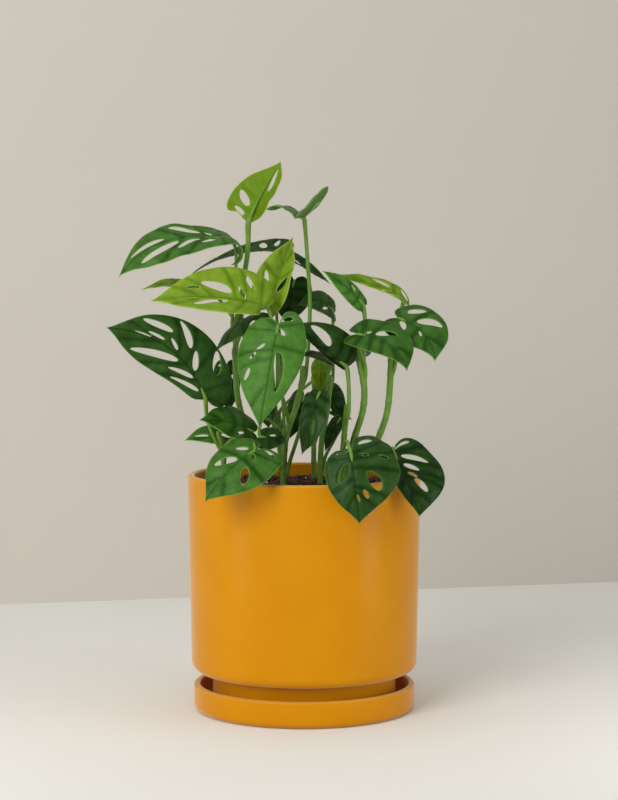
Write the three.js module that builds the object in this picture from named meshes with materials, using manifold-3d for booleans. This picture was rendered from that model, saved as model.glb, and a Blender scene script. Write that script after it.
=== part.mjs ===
// Potted Monstera epipremnoides: a glazed cylinder pot on its saucer, potting soil, green stems
// and long-stalked leaves with holes between their side veins.
// Millimetres, +Z up, -Y is the front. The origin is the centre of the saucer's flat underside.

import * as THREE from 'three';
import { mergeVertices } from 'three/addons/utils/BufferGeometryUtils.js';
import Module from 'manifold-3d';

const wasm = await Module();
wasm.setup();

// Driving dimensions
const clearance = 0.3;
const turnSegments = 40;

const saucer = { radius: 96.5, height: 23, wall: 5.5, floor: 8, lowerRound: 6, rimRound: 2 };
const pot = {
  rimRadius: 101.5, baseRadius: 98.5, rimHeight: 206, wall: 6, lipRound: 2.6,
  bodyBottom: 34, lowerRound: 9, footRadius: 80, footFloor: 10, drainRadius: 8,
};
const soil = { top: 194, mound: 3, crumb: 1.2, rings: 5 };

const bladeThickness = 0.8;
const stalkRadius = 1.5;
const stalkSides = 5;
const stalkSteps = 7;
const stemSides = 7;
const stemFoot = 166;      // height of a stem's lower end, inside the soil
const sheathLength = 14;   // a leaf stalk lies along its stem for this length
const slant = 0.7;         // how far a hole leans along its side veins: 0 upright, 1 along its diagonal

// Stems: centre line points above the soil, lowest first
const stems = [
  {
    name: 'stem_01', radius: 2.6,
    line: [[-43, 15, 205], [-49, 12, 236], [-58, 10, 271], [-60, 8, 305], [-58, 6, 345]],
  },
  {
    name: 'stem_02', radius: 2.7,
    line: [[-18, -12, 203], [-15.5, -14, 240], [-8, -10, 262], [-2, -6, 285], [-0.5, -3, 300]],
  },
  {
    name: 'stem_03', radius: 2.3,
    line: [[8.5, 25, 203], [8.5, 25, 235], [10, 24, 262], [8, 26, 290]],
  },
  {
    name: 'stem_04', radius: 2.5,
    line: [[14, 4, 203], [15, 2, 232], [20, 0, 262], [23, 2, 292]],
  },
  {
    name: 'stem_05', radius: 2.4,
    line: [[31, -22, 203], [34, -24, 236], [37, -22, 268]],
  },
  {
    name: 'stem_06', radius: 2.8,
    line: [[36, -2, 203], [42, -4, 232], [51, -6, 262], [52, -6, 282], [46, -6, 312]],
  },
  {
    name: 'stem_07', radius: 2.8,
    line: [[54, 16, 203], [62, 14, 228], [72, 12, 256], [75.5, 12, 290], [76, 12, 318]],
  },
  {
    name: 'stem_08', radius: 2.3,
    line: [[-70, -14, 203], [-70, -20, 228], [-74, -28, 245]],
  },
  {
    name: 'stem_09', radius: 2.4,
    line: [[-20, 46, 203], [-24, 52, 240], [-30, 54, 290]],
  },
];

// Leaves. A blade runs from its base, where the stalk ends, to its tip. face is the direction of
// its upper side, and left and right are as seen from that side with the tip up.
// from: stem number, height on it, and the side of the stem in degrees from +X towards +Y.
// half: widths of the two sides. lobe: reach of the basal lobes, in blade lengths.
// skew: below 1 the widest part lies nearer the tip. droop and twist are degrees.
// bow and sway bend the midrib out of and in the blade, in chords. fold and curl are degrees.
// left and right holes: [from, to] along the edge, then [inner, outer] ends along the side veins.
const leaves = [
  {
    name: 'leaf_01', stalk: 2.4, from: [1, 318, 60], via: [[-53, 8, 372], [-49, 6, 400]],
    base: [-48, 6, 424.7], tip: [-20, 0, 477], face: [0.25, 0.95, 0],
    half: [17, 27], lobe: [-0.1, -0.06], skew: [0.6, 1.3],
    bow: [0.02, -0.02], sway: [0.04, 0.02], fold: [-4, 8], curl: [-70, 6],
    left: [[0.66, 0.86, 0.25, 0.75]], right: [[0.35, 0.43, 0.24, 0.64], [0.47, 0.57, 0.2, 0.76]],
  },
  {
    name: 'leaf_02', stalk: 1.9, from: [2, 282, 60], via: [[5, 4, 352], [3, 3, 390]],
    base: [0, 0, 429], tip: [-8, -62, 427.5], face: [0, 0, 1],
    half: [34, 33], lobe: [0.14, 0.14],
    bow: [0.02, 0.02], fold: [46, 50], curl: [4, -80], droop: 8,
    left: [[0.22, 0.32, 0.35, 0.75]], right: [[0.36, 0.46, 0.3, 0.75]],
  },
  {
    name: 'leaf_03', from: [1, 322, 200], via: [[-60, 2, 372], [-60, -4, 404]],
    base: [-66, -8, 411.5], tip: [-157.5, -40, 378], face: [-0.1, -0.2, 0.95],
    half: [25, 23], lobe: [0.3, 0.08], skew: [0.6, 1],
    bow: [0.15, 0.24], fold: [0, 12], curl: [-20, -10], droop: 80, twist: -34,
    left: [[0.37, 0.44, 0.18, 0.52], [0.47, 0.57, 0.22, 0.56], [0.6, 0.75, 0.2, 0.85]],
    right: [[0.4, 0.44, 0.05, 0.28], [0.46, 0.58, 0.24, 0.8], [0.69, 0.83, 0.15, 0.8]],
  },
  {
    name: 'leaf_04', from: [9, 276, 80], via: [[-24, 70, 340], [-14, 60, 384]],
    base: [-12.5, 44, 400], tip: [-103.7, 40, 376], face: [-0.2, 0, 0.97],
    half: [8, 16], lobe: [0.04, 0.03], skew: [1, 2],
    bow: [0.12, 0.15], fold: [-14, 36], curl: [-10, 8], twist: 18,
    left: [], right: [[0.42, 0.47, 0.3, 0.85], [0.49, 0.56, 0.12, 0.65]],
  },
  {
    name: 'leaf_05', from: [9, 262, 200], via: [[-60, 40, 335], [-80, 24, 362]],
    base: [-88, 18, 366], tip: [-141.5, 5, 366], face: [0, -0.25, 0.96],
    half: [15, 15], lobe: [0.1, 0.1],
    bow: [0.07, 0.12], fold: [8, 8], curl: [0, 0],
    left: [], right: [[0.45, 0.54, 0.3, 0.75]],
  },
  {
    name: 'leaf_06', from: [9, 262, -20], via: [[-24, 32, 335], [-25, 28, 386]],
    base: [-17.5, 24, 398.7], tip: [23, 20, 371], face: [0.25, -0.6, 0.75],
    half: [5.5, 8], lobe: [0.1, 0.1],
    bow: [0.08, 0.04], fold: [6, 6], curl: [0, 0],
    left: [], right: [[0.45, 0.55, 0.25, 0.75]],
  },
  {
    name: 'leaf_07', stalk: 1.9, from: [6, 284, 60], via: [[53, -3, 335]],
    base: [51, -8, 353.8], tip: [15.5, -22, 383], face: [0.35, -0.85, 0.45],
    half: [9, 11], lobe: [0.1, 0.1],
    bow: [0.1, 0.12], fold: [-6, -6], curl: [-20, -20],
    left: [], right: [[0.5, 0.56, 0.3, 0.6]],
  },
  {
    name: 'leaf_08', stalk: 1.8, from: [7, 302, 60], via: [[80, 26, 334], [85, 24, 346]],
    base: [87, 20, 357], tip: [26, 0, 380], face: [0.3, -0.55, 0.75],
    half: [5, 12], lobe: [0.1, 0.3],
    bow: [0.14, 0], fold: [4, 8], curl: [-20, -10], droop: 30,
    left: [[0.38, 0.54, 0.2, 0.8]], right: [[0.26, 0.38, 0.3, 0.8], [0.48, 0.6, 0.25, 0.75]],
  },
  {
    name: 'leaf_09', from: [2, 236, 250], via: [[-20, -44, 285], [-24, -46, 325]],
    base: [-31.7, -28, 352.4], tip: [-129, -62, 358], face: [0, -0.7, 0.7],
    half: [25, 30], lobe: [-0.1, 0.08], skew: [0.7, 1],
    bow: [0.1, 0.1], fold: [20, 24], curl: [-10, -6],
    left: [[0.57, 0.7, 0.15, 0.66], [0.76, 0.85, 0.08, 0.4]],
    right: [
      [0.4, 0.445, 0.36, 0.8], [0.46, 0.5, 0.06, 0.36], [0.55, 0.67, 0.16, 0.64],
      [0.69, 0.735, 0.45, 0.7],
    ],
  },
  {
    name: 'leaf_10', from: [9, 270, -70], via: [[-30, 30, 325]],
    base: [-30, 8, 353.5], tip: [-10, 12, 411.7], face: [0.1, -0.95, 0.2],
    half: [20, 22], lobe: [0.12, 0.12],
    bow: [0.04, -0.04], fold: [10, 56], curl: [-10, 10],
    left: [[0.5, 0.58, 0.35, 0.68]], right: [[0.46, 0.58, 0.12, 0.66]],
  },
  {
    name: 'leaf_11', from: [9, 262, 30], via: [[-10, 60, 330]],
    base: [-9, 36, 373], tip: [-16, 38, 334], face: [0, -1, 0.15],
    half: [18, 18], lobe: [0.15, 0.15],
    bow: [0.05, 0.05], fold: [-8, -8], curl: [-10, -10],
    left: [], right: [[0.45, 0.54, 0.3, 0.7]],
  },
  {
    name: 'leaf_12', from: [4, 276, 60], via: [[25, 14, 325]],
    base: [24.8, 26, 347.5], tip: [-6.3, 20, 352], face: [0, -0.6, 0.75],
    half: [15, 16], lobe: [0.2, 0.2],
    bow: [0.32, 0.34], fold: [6, 6], curl: [-10, -10],
    left: [[0.45, 0.54, 0.15, 0.6]], right: [],
  },
  {
    name: 'leaf_13', from: [2, 214, 280], via: [[-18, -54, 275], [-20, -62, 320]],
    base: [-21.9, -68, 337.7], tip: [-37.2, -91, 252.7], face: [0, -0.97, 0.25],
    half: [28, 31], lobe: [0.27, 0.1], skew: [1.25, 1],
    bow: [0.1, 0.08], fold: [-10, -14], curl: [-20, -16],
    left: [[0.15, 0.28, 0.22, 0.64], [0.325, 0.385, 0.05, 0.26], [0.52, 0.74, 0.08, 0.6]],
    right: [[0.45, 0.49, 0.22, 0.42], [0.505, 0.54, 0.42, 0.6], [0.585, 0.635, 0.62, 0.86]],
  },
  {
    name: 'leaf_14', from: [1, 300, 250], via: [[-48, -4, 338]],
    base: [-37, -10, 346], tip: [-76, -26, 313.6], face: [-0.4, -0.35, 0.85],
    half: [18, 20], lobe: [0.12, 0.12],
    bow: [0.14, 0.12], fold: [-8, -8], curl: [-20, -20],
    left: [[0.45, 0.54, 0.3, 0.7]], right: [[0.45, 0.54, 0.3, 0.7]],
  },
  {
    name: 'leaf_15', stalk: 1.8, from: [8, 226, 180], via: [[-83, -28, 255]],
    base: [-84, -42, 274.3], tip: [-166.6, -60, 335.5], face: [0.1, -0.95, 0.25],
    half: [24, 33], lobe: [-0.06, 0.12], skew: [0.45, 1],
    bow: [0.04, 0.04], sway: [0.22, 0.2], fold: [-6, -4], curl: [-12, -16],
    left: [[0.33, 0.4, 0.12, 0.72], [0.43, 0.5, 0.06, 0.5], [0.56, 0.68, 0.1, 0.9]],
    right: [
      [0.39, 0.455, 0.48, 0.93], [0.47, 0.53, 0.06, 0.42], [0.55, 0.6, 0.36, 0.93],
      [0.62, 0.66, 0.1, 0.34], [0.645, 0.735, 0.5, 0.9], [0.7, 0.77, 0.18, 0.42],
      [0.785, 0.86, 0.08, 0.32],
    ],
  },
  {
    name: 'leaf_16', from: [8, 218, 300], via: [[-60, -38, 240]],
    base: [-44, -40, 246], tip: [-88.8, -54, 257.1], face: [0, -0.6, 0.8],
    half: [18, 28], lobe: [0.15, 0.15],
    bow: [0.12, 0.12], fold: [0, 0], curl: [-16, -16],
    left: [[0.45, 0.54, 0.3, 0.7]], right: [],
  },
  {
    name: 'leaf_17', from: [2, 226, 110], via: [[-34, -24, 256]],
    base: [-37, -56, 243], tip: [-14, -60, 238], face: [0, -0.6, 0.8],
    half: [14, 14], lobe: [0.15, 0.15],
    bow: [0.08, 0.08], fold: [0, 0], curl: [-12, -12],
    left: [[0.54, 0.68, 0.12, 0.42]], right: [],
  },
  {
    name: 'leaf_18', from: [8, 206, 100], via: [[-64, 8, 222]],
    base: [-60, -2, 235], tip: [-103.9, -6, 235.5], face: [0, -0.7, 0.7],
    half: [7, 16], lobe: [0.12, 0.12], skew: [1, 0.8],
    bow: [0.1, 0.14], fold: [0, 0], curl: [-10, -10],
    left: [], right: [[0.38, 0.55, 0.1, 0.34], [0.69, 0.82, 0.12, 0.64]],
  },
  {
    name: 'leaf_19', from: [2, 206, 180], via: [[-36, -52, 226], [-42, -84, 240]],
    base: [-41.3, -97, 234.9], tip: [-81.4, -118, 194.5], face: [-0.1, -0.75, 0.65],
    half: [29, 24], lobe: [0.45, 0.3],
    bow: [0.16, 0.16], fold: [0, 0], curl: [-18, -18],
    left: [[0.17, 0.3, 0.36, 0.68], [0.35, 0.42, 0.07, 0.24], [0.52, 0.63, 0.24, 0.76]],
    right: [[0.33, 0.42, 0.18, 0.5], [0.51, 0.64, 0.08, 0.7]],
  },
  {
    name: 'leaf_20', from: [5, 214, 270], via: [[34, -60, 234], [36, -90, 242]],
    base: [38.9, -106, 233.2], tip: [45.6, -120, 176.5], face: [0, -0.93, 0.36],
    half: [40, 24], lobe: [0.5, 0.08],
    bow: [0.1, 0.1], fold: [-6, -6], curl: [-14, -14],
    left: [
      [0.18, 0.27, 0.36, 0.72], [0.32, 0.355, 0.18, 0.36], [0.37, 0.4, 0.56, 0.78],
      [0.51, 0.66, 0.24, 0.68], [0.68, 0.735, 0.24, 0.52], [0.745, 0.8, 0.04, 0.22],
    ],
    right: [[0.22, 0.29, 0.26, 0.7], [0.42, 0.58, 0.1, 0.54]],
  },
  {
    name: 'leaf_21', from: [7, 206, 320], via: [[72, -34, 226], [75, -52, 233]],
    base: [76, -62, 230], tip: [97.1, -76, 177.2], face: [0.15, -0.9, 0.4],
    half: [37, 11], lobe: [0.2, 0.1], skew: [0.55, 1],
    bow: [0.14, 0.1], fold: [4, 0], curl: [-34, -10],
    left: [
      [0.1, 0.26, 0.34, 0.76], [0.35, 0.44, 0.1, 0.64], [0.46, 0.54, 0.06, 0.34],
      [0.56, 0.605, 0.08, 0.28], [0.62, 0.71, 0.2, 0.64],
    ],
    right: [],
  },
  {
    name: 'leaf_22', from: [6, 286, 330], via: [[47, -22, 318]],
    base: [46, -34, 329], tip: [87, -62, 298.8], face: [-0.1, -0.6, 0.8],
    half: [27, 15], lobe: [0.22, 0.2],
    bow: [0.1, 0.1], sway: [-0.16, -0.2], fold: [-4, -4], curl: [-18, -16],
    left: [[0.37, 0.43, 0.05, 0.2], [0.48, 0.6, 0.1, 0.6]], right: [],
  },
  {
    name: 'leaf_23', from: [7, 290, 330], via: [[80, 4, 328]],
    base: [82.3, -8, 341.5], tip: [111.7, -38, 306], face: [0.1, -0.75, 0.65],
    half: [28, 22], lobe: [0.2, 0.25],
    bow: [0.1, 0.1], sway: [-0.14, -0.18], fold: [0, 0], curl: [-14, -14],
    left: [[0.33, 0.45, 0.32, 0.76], [0.49, 0.62, 0.14, 0.8]],
    right: [[0.35, 0.48, 0.08, 0.42], [0.62, 0.68, 0.06, 0.26]],
  },
  {
    name: 'leaf_24', stalk: 1.9, from: [5, 250, 290], via: [[38, -22, 290]],
    base: [36.6, -20, 300.3], tip: [-12, -24, 338], face: [0.1, -0.95, 0.3],
    half: [6, 26], lobe: [0.05, 0.06],
    bow: [0.1, 0.1], fold: [-40, -6], curl: [-16, -16],
    left: [], right: [[0.58, 0.75, 0.12, 0.84]],
  },
  {
    name: 'leaf_25', from: [4, 262, 230], via: [[20, -12, 290]],
    base: [23.3, -14, 304.1], tip: [-4, -20, 309.4], face: [0, -0.3, 0.95],
    half: [13, 13], lobe: [0.12, 0.12],
    bow: [0.2, 0.2], fold: [0, 0], curl: [-10, -10],
    left: [], right: [[0.45, 0.54, 0.3, 0.7]],
  },
  {
    name: 'leaf_26', from: [3, 262, 60], via: [[12, 24, 306]],
    base: [14, 16, 303], tip: [13.8, 10, 274], face: [0.1, 0.95, 0],
    half: [8, 8], lobe: [0.08, 0.08],
    bow: [-0.06, -0.06], fold: [0, 0], curl: [20, 20],
    left: [], right: [],
  },
  {
    name: 'leaf_27', stalk: 1.8, from: [2, 202, 340], via: [[-8, -24, 232], [2, -40, 262]],
    base: [13, -52, 280], tip: [-2, -60, 227.8], face: [-0.3, -0.9, 0.3],
    half: [16, 9], lobe: [0.05, 0.05], skew: [0.7, 1],
    bow: [0.12, 0.12], fold: [14, 14], curl: [-10, -10],
    left: [[0.6, 0.68, 0.3, 0.65]], right: [],
  },
  {
    name: 'leaf_28', from: [3, 230, 20], via: [[20, 24, 270]],
    base: [20, 20, 281], tip: [42, 8, 252.4], face: [0.2, -0.95, 0.3],
    half: [12, 12], lobe: [0.12, 0.12],
    bow: [0.1, 0.1], sway: [0.16, 0.2], fold: [0, 0], curl: [-10, -10],
    left: [], right: [[0.5, 0.66, 0.35, 0.75]],
  },
  {
    name: 'leaf_29', from: [4, 206, 20], via: [[28, -4, 240]],
    base: [31, -6, 254], tip: [17.9, -12, 226], face: [-0.3, -0.85, 0.3],
    half: [7, 7], lobe: [0.1, 0.1],
    bow: [0.12, 0.12], fold: [10, 10], curl: [-10, -10],
    left: [], right: [],
  },
  {
    name: 'leaf_30', from: [9, 230, 250], via: [[-34, 40, 262]],
    base: [-33, 20, 268], tip: [-31, 12, 244], face: [0, -1, 0.1],
    half: [8, 10], lobe: [0.1, 0.1],
    bow: [0.1, 0.1], fold: [0, 0], curl: [-10, -10],
    left: [], right: [],
  },
  {
    name: 'leaf_31', from: [9, 236, 165], via: [[-52, 46, 280]],
    base: [-69, 33, 298], tip: [-66, 27, 257], face: [0, -1, 0.15],
    half: [12, 12], lobe: [0.15, 0.15],
    bow: [0.1, 0.1], fold: [0, 0], curl: [-16, -16],
    left: [[0.45, 0.54, 0.3, 0.7]], right: [[0.24, 0.32, 0.3, 0.7], [0.58, 0.68, 0.3, 0.7]],
  },
  {
    name: 'leaf_32', from: [9, 242, 20], via: [[10, 64, 285]],
    base: [34, 74, 306], tip: [44, 146, 303], face: [0, 0, 1],
    half: [24, 24], lobe: [0.15, 0.15],
    bow: [0.1, 0.1], fold: [0, 0], curl: [-16, -16],
    left: [[0.24, 0.32, 0.3, 0.7]], right: [[0.45, 0.54, 0.3, 0.7]],
  },
  {
    name: 'leaf_33', from: [9, 226, 320], via: [[-16, 42, 256]],
    base: [0, 40, 271], tip: [-13, 34, 233], face: [0.15, -0.95, 0.2],
    half: [11, 12], lobe: [0.15, 0.15],
    bow: [0.1, 0.1], fold: [-8, -8], curl: [-16, -16],
    left: [], right: [],
  },
  {
    name: 'leaf_34', from: [6, 208, 90], via: [[42, 50, 222], [48, 84, 224]],
    base: [52, 96, 217], tip: [62, 124, 166], face: [0.2, 0.85, 0.45],
    half: [26, 26], lobe: [0.2, 0.2],
    bow: [0.14, 0.12], fold: [-6, -6], curl: [-14, -14],
    left: [[0.24, 0.32, 0.3, 0.7]], right: [[0.45, 0.54, 0.3, 0.7]],
  },
];

// A closed solid from a three.js geometry, with its shared corners merged
function toSolid(geometry) {
  const bare = geometry.index ? geometry.toNonIndexed() : geometry.clone();
  bare.deleteAttribute('normal');
  bare.deleteAttribute('uv');
  const welded = mergeVertices(bare, 1e-4);
  const corners = welded.index.array;
  const kept = [];
  for (let i = 0; i < corners.length; i += 3) {
    const [a, b, c] = [corners[i], corners[i + 1], corners[i + 2]];
    if (a !== b && b !== c && c !== a) kept.push(a, b, c);
  }
  return new wasm.Manifold(new wasm.Mesh({
    numProp: 3,
    vertProperties: new Float32Array(welded.attributes.position.array),
    triVerts: new Uint32Array(kept),
  }));
}

function toGeometry(solid) {
  const mesh = solid.getMesh();
  const geometry = new THREE.BufferGeometry();
  geometry.setAttribute('position', new THREE.BufferAttribute(mesh.vertProperties, 3));
  geometry.setIndex(new THREE.BufferAttribute(mesh.triVerts, 1));
  geometry.computeVertexNormals();
  return geometry;
}

// A body turned about Z from a closed [radius, height] profile that runs from its foot, up the
// outside and back down the inside
function turned(profile) {
  const points = profile.map(([radius, height]) => new THREE.Vector2(radius, height));
  const body = new THREE.LatheGeometry(points, turnSegments);
  body.rotateX(Math.PI / 2);
  return body;
}

// Points of a quarter or other arc in a [radius, height] profile, angles in degrees
function arc(centreR, centreZ, radius, fromDeg, toDeg, steps) {
  const points = [];
  for (let i = 0; i <= steps; i += 1) {
    const angle = THREE.MathUtils.degToRad(fromDeg + ((toDeg - fromDeg) * i) / steps);
    points.push([centreR + radius * Math.cos(angle), centreZ + radius * Math.sin(angle)]);
  }
  return points;
}

function saucerGeometry() {
  const { radius, height, wall, floor, lowerRound, rimRound } = saucer;
  const inner = radius - wall;
  return turned([
    [0, 0],
    ...arc(radius - lowerRound, lowerRound, lowerRound, -90, 0, 3),
    ...arc(radius - rimRound, height - rimRound, rimRound, 0, 90, 2),
    ...arc(inner + rimRound, height - rimRound, rimRound, 90, 180, 2),
    ...arc(inner - 3, floor + 3, 3, 0, -90, 2),
    [0, floor],
  ]);
}

function potGeometry() {
  const { rimRadius, baseRadius, rimHeight, wall, lipRound, bodyBottom, lowerRound } = pot;
  const { footRadius, footFloor, drainRadius } = pot;
  const footBottom = saucer.floor + clearance;
  const innerRim = rimRadius - wall;
  const innerBase = baseRadius - wall;
  const soilFloor = bodyBottom + footFloor;
  return turned([
    [drainRadius, footBottom],
    [footRadius, footBottom],
    [footRadius, bodyBottom],
    ...arc(baseRadius - lowerRound, bodyBottom + lowerRound, lowerRound, -90, 0, 4),
    ...arc(rimRadius - lipRound, rimHeight - lipRound, lipRound, 0, 90, 3),
    ...arc(innerRim + lipRound, rimHeight - lipRound, lipRound, 90, 180, 3),
    [innerBase, soilFloor],
    [drainRadius, soilFloor],
    [drainRadius, footBottom],
  ]);
}

// A round rod along a smooth line: an extruded regular section
function rod(points, radius, sides, steps) {
  const section = new THREE.Shape();
  for (let i = 0; i < sides; i += 1) {
    const angle = (2 * Math.PI * i) / sides;
    const corner = [radius * Math.cos(angle), radius * Math.sin(angle)];
    if (i === 0) section.moveTo(...corner);
    else section.lineTo(...corner);
  }
  section.closePath();
  const extrudePath = new THREE.CatmullRomCurve3(points);
  return new THREE.ExtrudeGeometry(section, { steps, bevelEnabled: false, extrudePath });
}

// A stem's centre line, with its straight foot in the soil added
function stemLine(stem, foot = stemFoot) {
  const [x, y, z] = stem.line[0];
  const middle = (stemFoot + z) / 2;
  const buried = [[x, y, foot], [x, y, middle]];
  return [...buried, ...stem.line].map((point) => new THREE.Vector3(...point));
}

function stemSteps(stem) {
  return Math.round(new THREE.CatmullRomCurve3(stemLine(stem)).getLength() / 13);
}

// Where a stem's centre line reaches a height, with its direction there
function stemAt(stem, height) {
  const curve = new THREE.CatmullRomCurve3(stemLine(stem));
  let low = 0;
  let high = 1;
  for (let i = 0; i < 30; i += 1) {
    const middle = (low + high) / 2;
    if (curve.getPoint(middle).z < height) low = middle;
    else high = middle;
  }
  return { point: curve.getPoint(low), tangent: curve.getTangent(low) };
}

// A point beside a stem, where a leaf stalk's centre line runs
function besideStem(stem, height, sideDeg, stalk) {
  const { point, tangent } = stemAt(stem, height);
  const side = THREE.MathUtils.degToRad(sideDeg);
  const away = new THREE.Vector3(Math.cos(side), Math.sin(side), 0);
  away.addScaledVector(tangent, -away.dot(tangent)).normalize();
  return point.addScaledVector(away, stem.radius + stalk + 1.6 * clearance);
}

// One side of a flat blade's edge, from the notch at the base to the drip tip:
// x in half widths, y in blade lengths. A skew below 1 moves its widest part towards the tip.
function edgeCurve(lobe, skew) {
  const points = [
    [0, 0], [0.16, -(lobe > 0 ? 0.7 : 0.05) * lobe], [0.5, -lobe],
    [0.86, 0.05 ** skew - 0.35 * lobe], [1, 0.22 ** skew],
    [0.93, 0.45 ** skew], [0.65, 0.68 ** skew], [0.26, 0.86 ** skew], [0.07, 0.95 ** skew], [0, 1],
  ];
  return new THREE.SplineCurve(points.map((point) => new THREE.Vector2(...point)));
}

// The side veins that bound a side's panels, as places along its edge curve: the usual ones where
// no hole is in the way, and one between any two holes
function veinPlaces(length, holes) {
  const usual = length > 55 ? [0.2, 0.34, 0.47, 0.6, 0.75] : [0.24, 0.42, 0.58, 0.76];
  const places = usual.filter((v) => holes.every(([from, to]) => v < from - 0.012 || v > to + 0.012));
  let reached = 0;
  for (const [from, to] of [...holes].sort((a, b) => a[0] - b[0])) {
    const [low, high] = [reached, from];
    if (low > 0 && high > low && !places.some((v) => v > low && v < high)) places.push((low + high) / 2);
    reached = Math.max(reached, to);
  }
  return [0, ...places.sort((a, b) => a - b), 1];
}

// A blade's shape: flat(side, v, r) gives a flat point at v along the edge and r out along the
// vein there, and solid(side, point) gives the two skins' points above and below it
function bladeShape(leaf) {
  const base = new THREE.Vector3(...leaf.base);
  const tip = new THREE.Vector3(...leaf.tip);
  const chord = tip.clone().sub(base);
  const span = chord.length();
  const along = chord.clone().normalize();
  const face = new THREE.Vector3(...leaf.face);
  face.addScaledVector(along, -face.dot(along)).normalize();
  const right = new THREE.Vector3().crossVectors(along, face);
  const sway = leaf.sway ?? [0, 0];
  const handle = (k) => base.clone()
    .addScaledVector(chord, (k + 1) / 3)
    .addScaledVector(face, leaf.bow[k] * span)
    .addScaledVector(right, sway[k] * span);
  const midrib = new THREE.CubicBezierCurve3(base, handle(0), handle(1), tip);
  const length = midrib.getLength();
  const skew = leaf.skew ?? [1, 1];
  const edges = leaf.lobe.map((lobe, k) => edgeCurve(lobe, skew[k]));
  const droop = THREE.MathUtils.degToRad(leaf.droop ?? 20) / (0.15 * length);
  const twist = THREE.MathUtils.degToRad(leaf.twist ?? 0);

  const flat = (side, v, r) => {
    const edge = edges[side < 0 ? 0 : 1].getPoint(v);
    const x = edge.x * leaf.half[side < 0 ? 0 : 1];
    const y = edge.y * length;
    const start = v < 0.28 ? 0 : 0.97 * length * ((v - 0.28) / 0.72) ** 1.15;
    const bendX = 0.6 * x;
    const bendY = start + 0.35 * (y - start);
    const a = 2 * r * (1 - r);
    const b = r * r;
    return new THREE.Vector2(side * (a * bendX + b * x), (1 - r) * (1 - r) * start + a * bendY + b * y);
  };

  const frameAt = (y) => {
    const u = THREE.MathUtils.clamp(y / length, 0, 1);
    const tangent = midrib.getTangent(u);
    const normal = face.clone().addScaledVector(tangent, -face.dot(tangent)).normalize();
    normal.applyAxisAngle(tangent, twist * u);
    const point = midrib.getPoint(u);
    if (y < 0) {
      const turn = droop * -y;
      const reach = -y * (Math.sin(turn) / turn);
      const fall = -y * ((1 - Math.cos(turn)) / turn);
      point.addScaledVector(tangent, -reach).addScaledVector(normal, -fall);
      const lean = normal.clone().multiplyScalar(Math.cos(turn)).addScaledVector(tangent, -Math.sin(turn));
      tangent.multiplyScalar(Math.cos(turn)).addScaledVector(normal, Math.sin(turn));
      normal.copy(lean);
    }
    return { point, normal, right: new THREE.Vector3().crossVectors(tangent, normal) };
  };

  const bent = (side, x, y) => {
    const index = side < 0 ? 0 : 1;
    const { point, normal, right: across } = frameAt(y);
    const fold = THREE.MathUtils.degToRad(leaf.fold[index]);
    const rate = THREE.MathUtils.degToRad(leaf.curl[index] || 0.01) / leaf.half[index];
    const distance = Math.abs(x);
    const out = (Math.sin(fold + rate * distance) - Math.sin(fold)) / rate;
    const lift = (Math.cos(fold) - Math.cos(fold + rate * distance)) / rate;
    return point.addScaledVector(across, side * out).addScaledVector(normal, lift);
  };

  const solid = (side, place) => {
    const step = 0.05;
    const here = bent(side, place.x, place.y);
    let normal = frameAt(place.y).normal;
    if (Math.abs(place.x) > 1e-6) {
      const outward = bent(side, place.x + side * step, place.y).sub(here).multiplyScalar(side);
      const forward = bent(side, place.x, place.y + step).sub(here);
      normal = outward.cross(forward).normalize();
    }
    return {
      top: here.clone().addScaledVector(normal, bladeThickness / 2),
      bottom: here.clone().addScaledVector(normal, -bladeThickness / 2),
    };
  };

  return { flat, solid, midrib, face, length };
}

// The outline of the panel between two side veins, and the loops of its holes. split is where the
// triangulation sees a corner: a midrib corner inside a panel is moved out, or it would be skipped.
function panelShape(shape, side, from, to, midribPlaces, holes) {
  const corners = [];
  const add = (v, r, onEdge, shift = 0) => {
    const place = shape.flat(side, v, r);
    if (corners.some((other) => other.place.distanceTo(place) < 1e-6)) return;
    corners.push({ place, onEdge, split: new THREE.Vector2(place.x - shift * side, place.y) });
  };
  add(from, 0, from === 0);
  if (from > 0) add(from, 0.5, false);
  const edgeSteps = Math.max(from === 0 ? 4 : 2, Math.round((to - from) / 0.07));
  for (let i = 0; i < edgeSteps; i += 1) add(from + ((to - from) * i) / edgeSteps, 1, true);
  add(to, 1, true);
  if (to < 1) {
    add(to, 0.5, false);
    add(to, 0, false);
  }
  for (const v of midribPlaces.filter((place) => place > from && place < to).reverse()) {
    add(v, 0, false, 0.02);
  }
  const across = Math.sqrt(1 - slant * slant);
  const loops = holes.map(([first, last, inner, outer]) => {
    const loop = [];
    for (let i = 0; i < 6; i += 1) {
      const angle = (Math.PI * i) / 3;
      const lean = across * Math.sin(angle) - slant * Math.cos(angle);
      const v = (first + last) / 2 + ((last - first) / 2) * lean;
      const r = (inner + outer) / 2 - ((outer - inner) / 2) * Math.cos(angle);
      const place = shape.flat(side, v, r);
      loop.push({ place, split: place });
    }
    return loop;
  });
  return { corners, loops };
}

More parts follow.
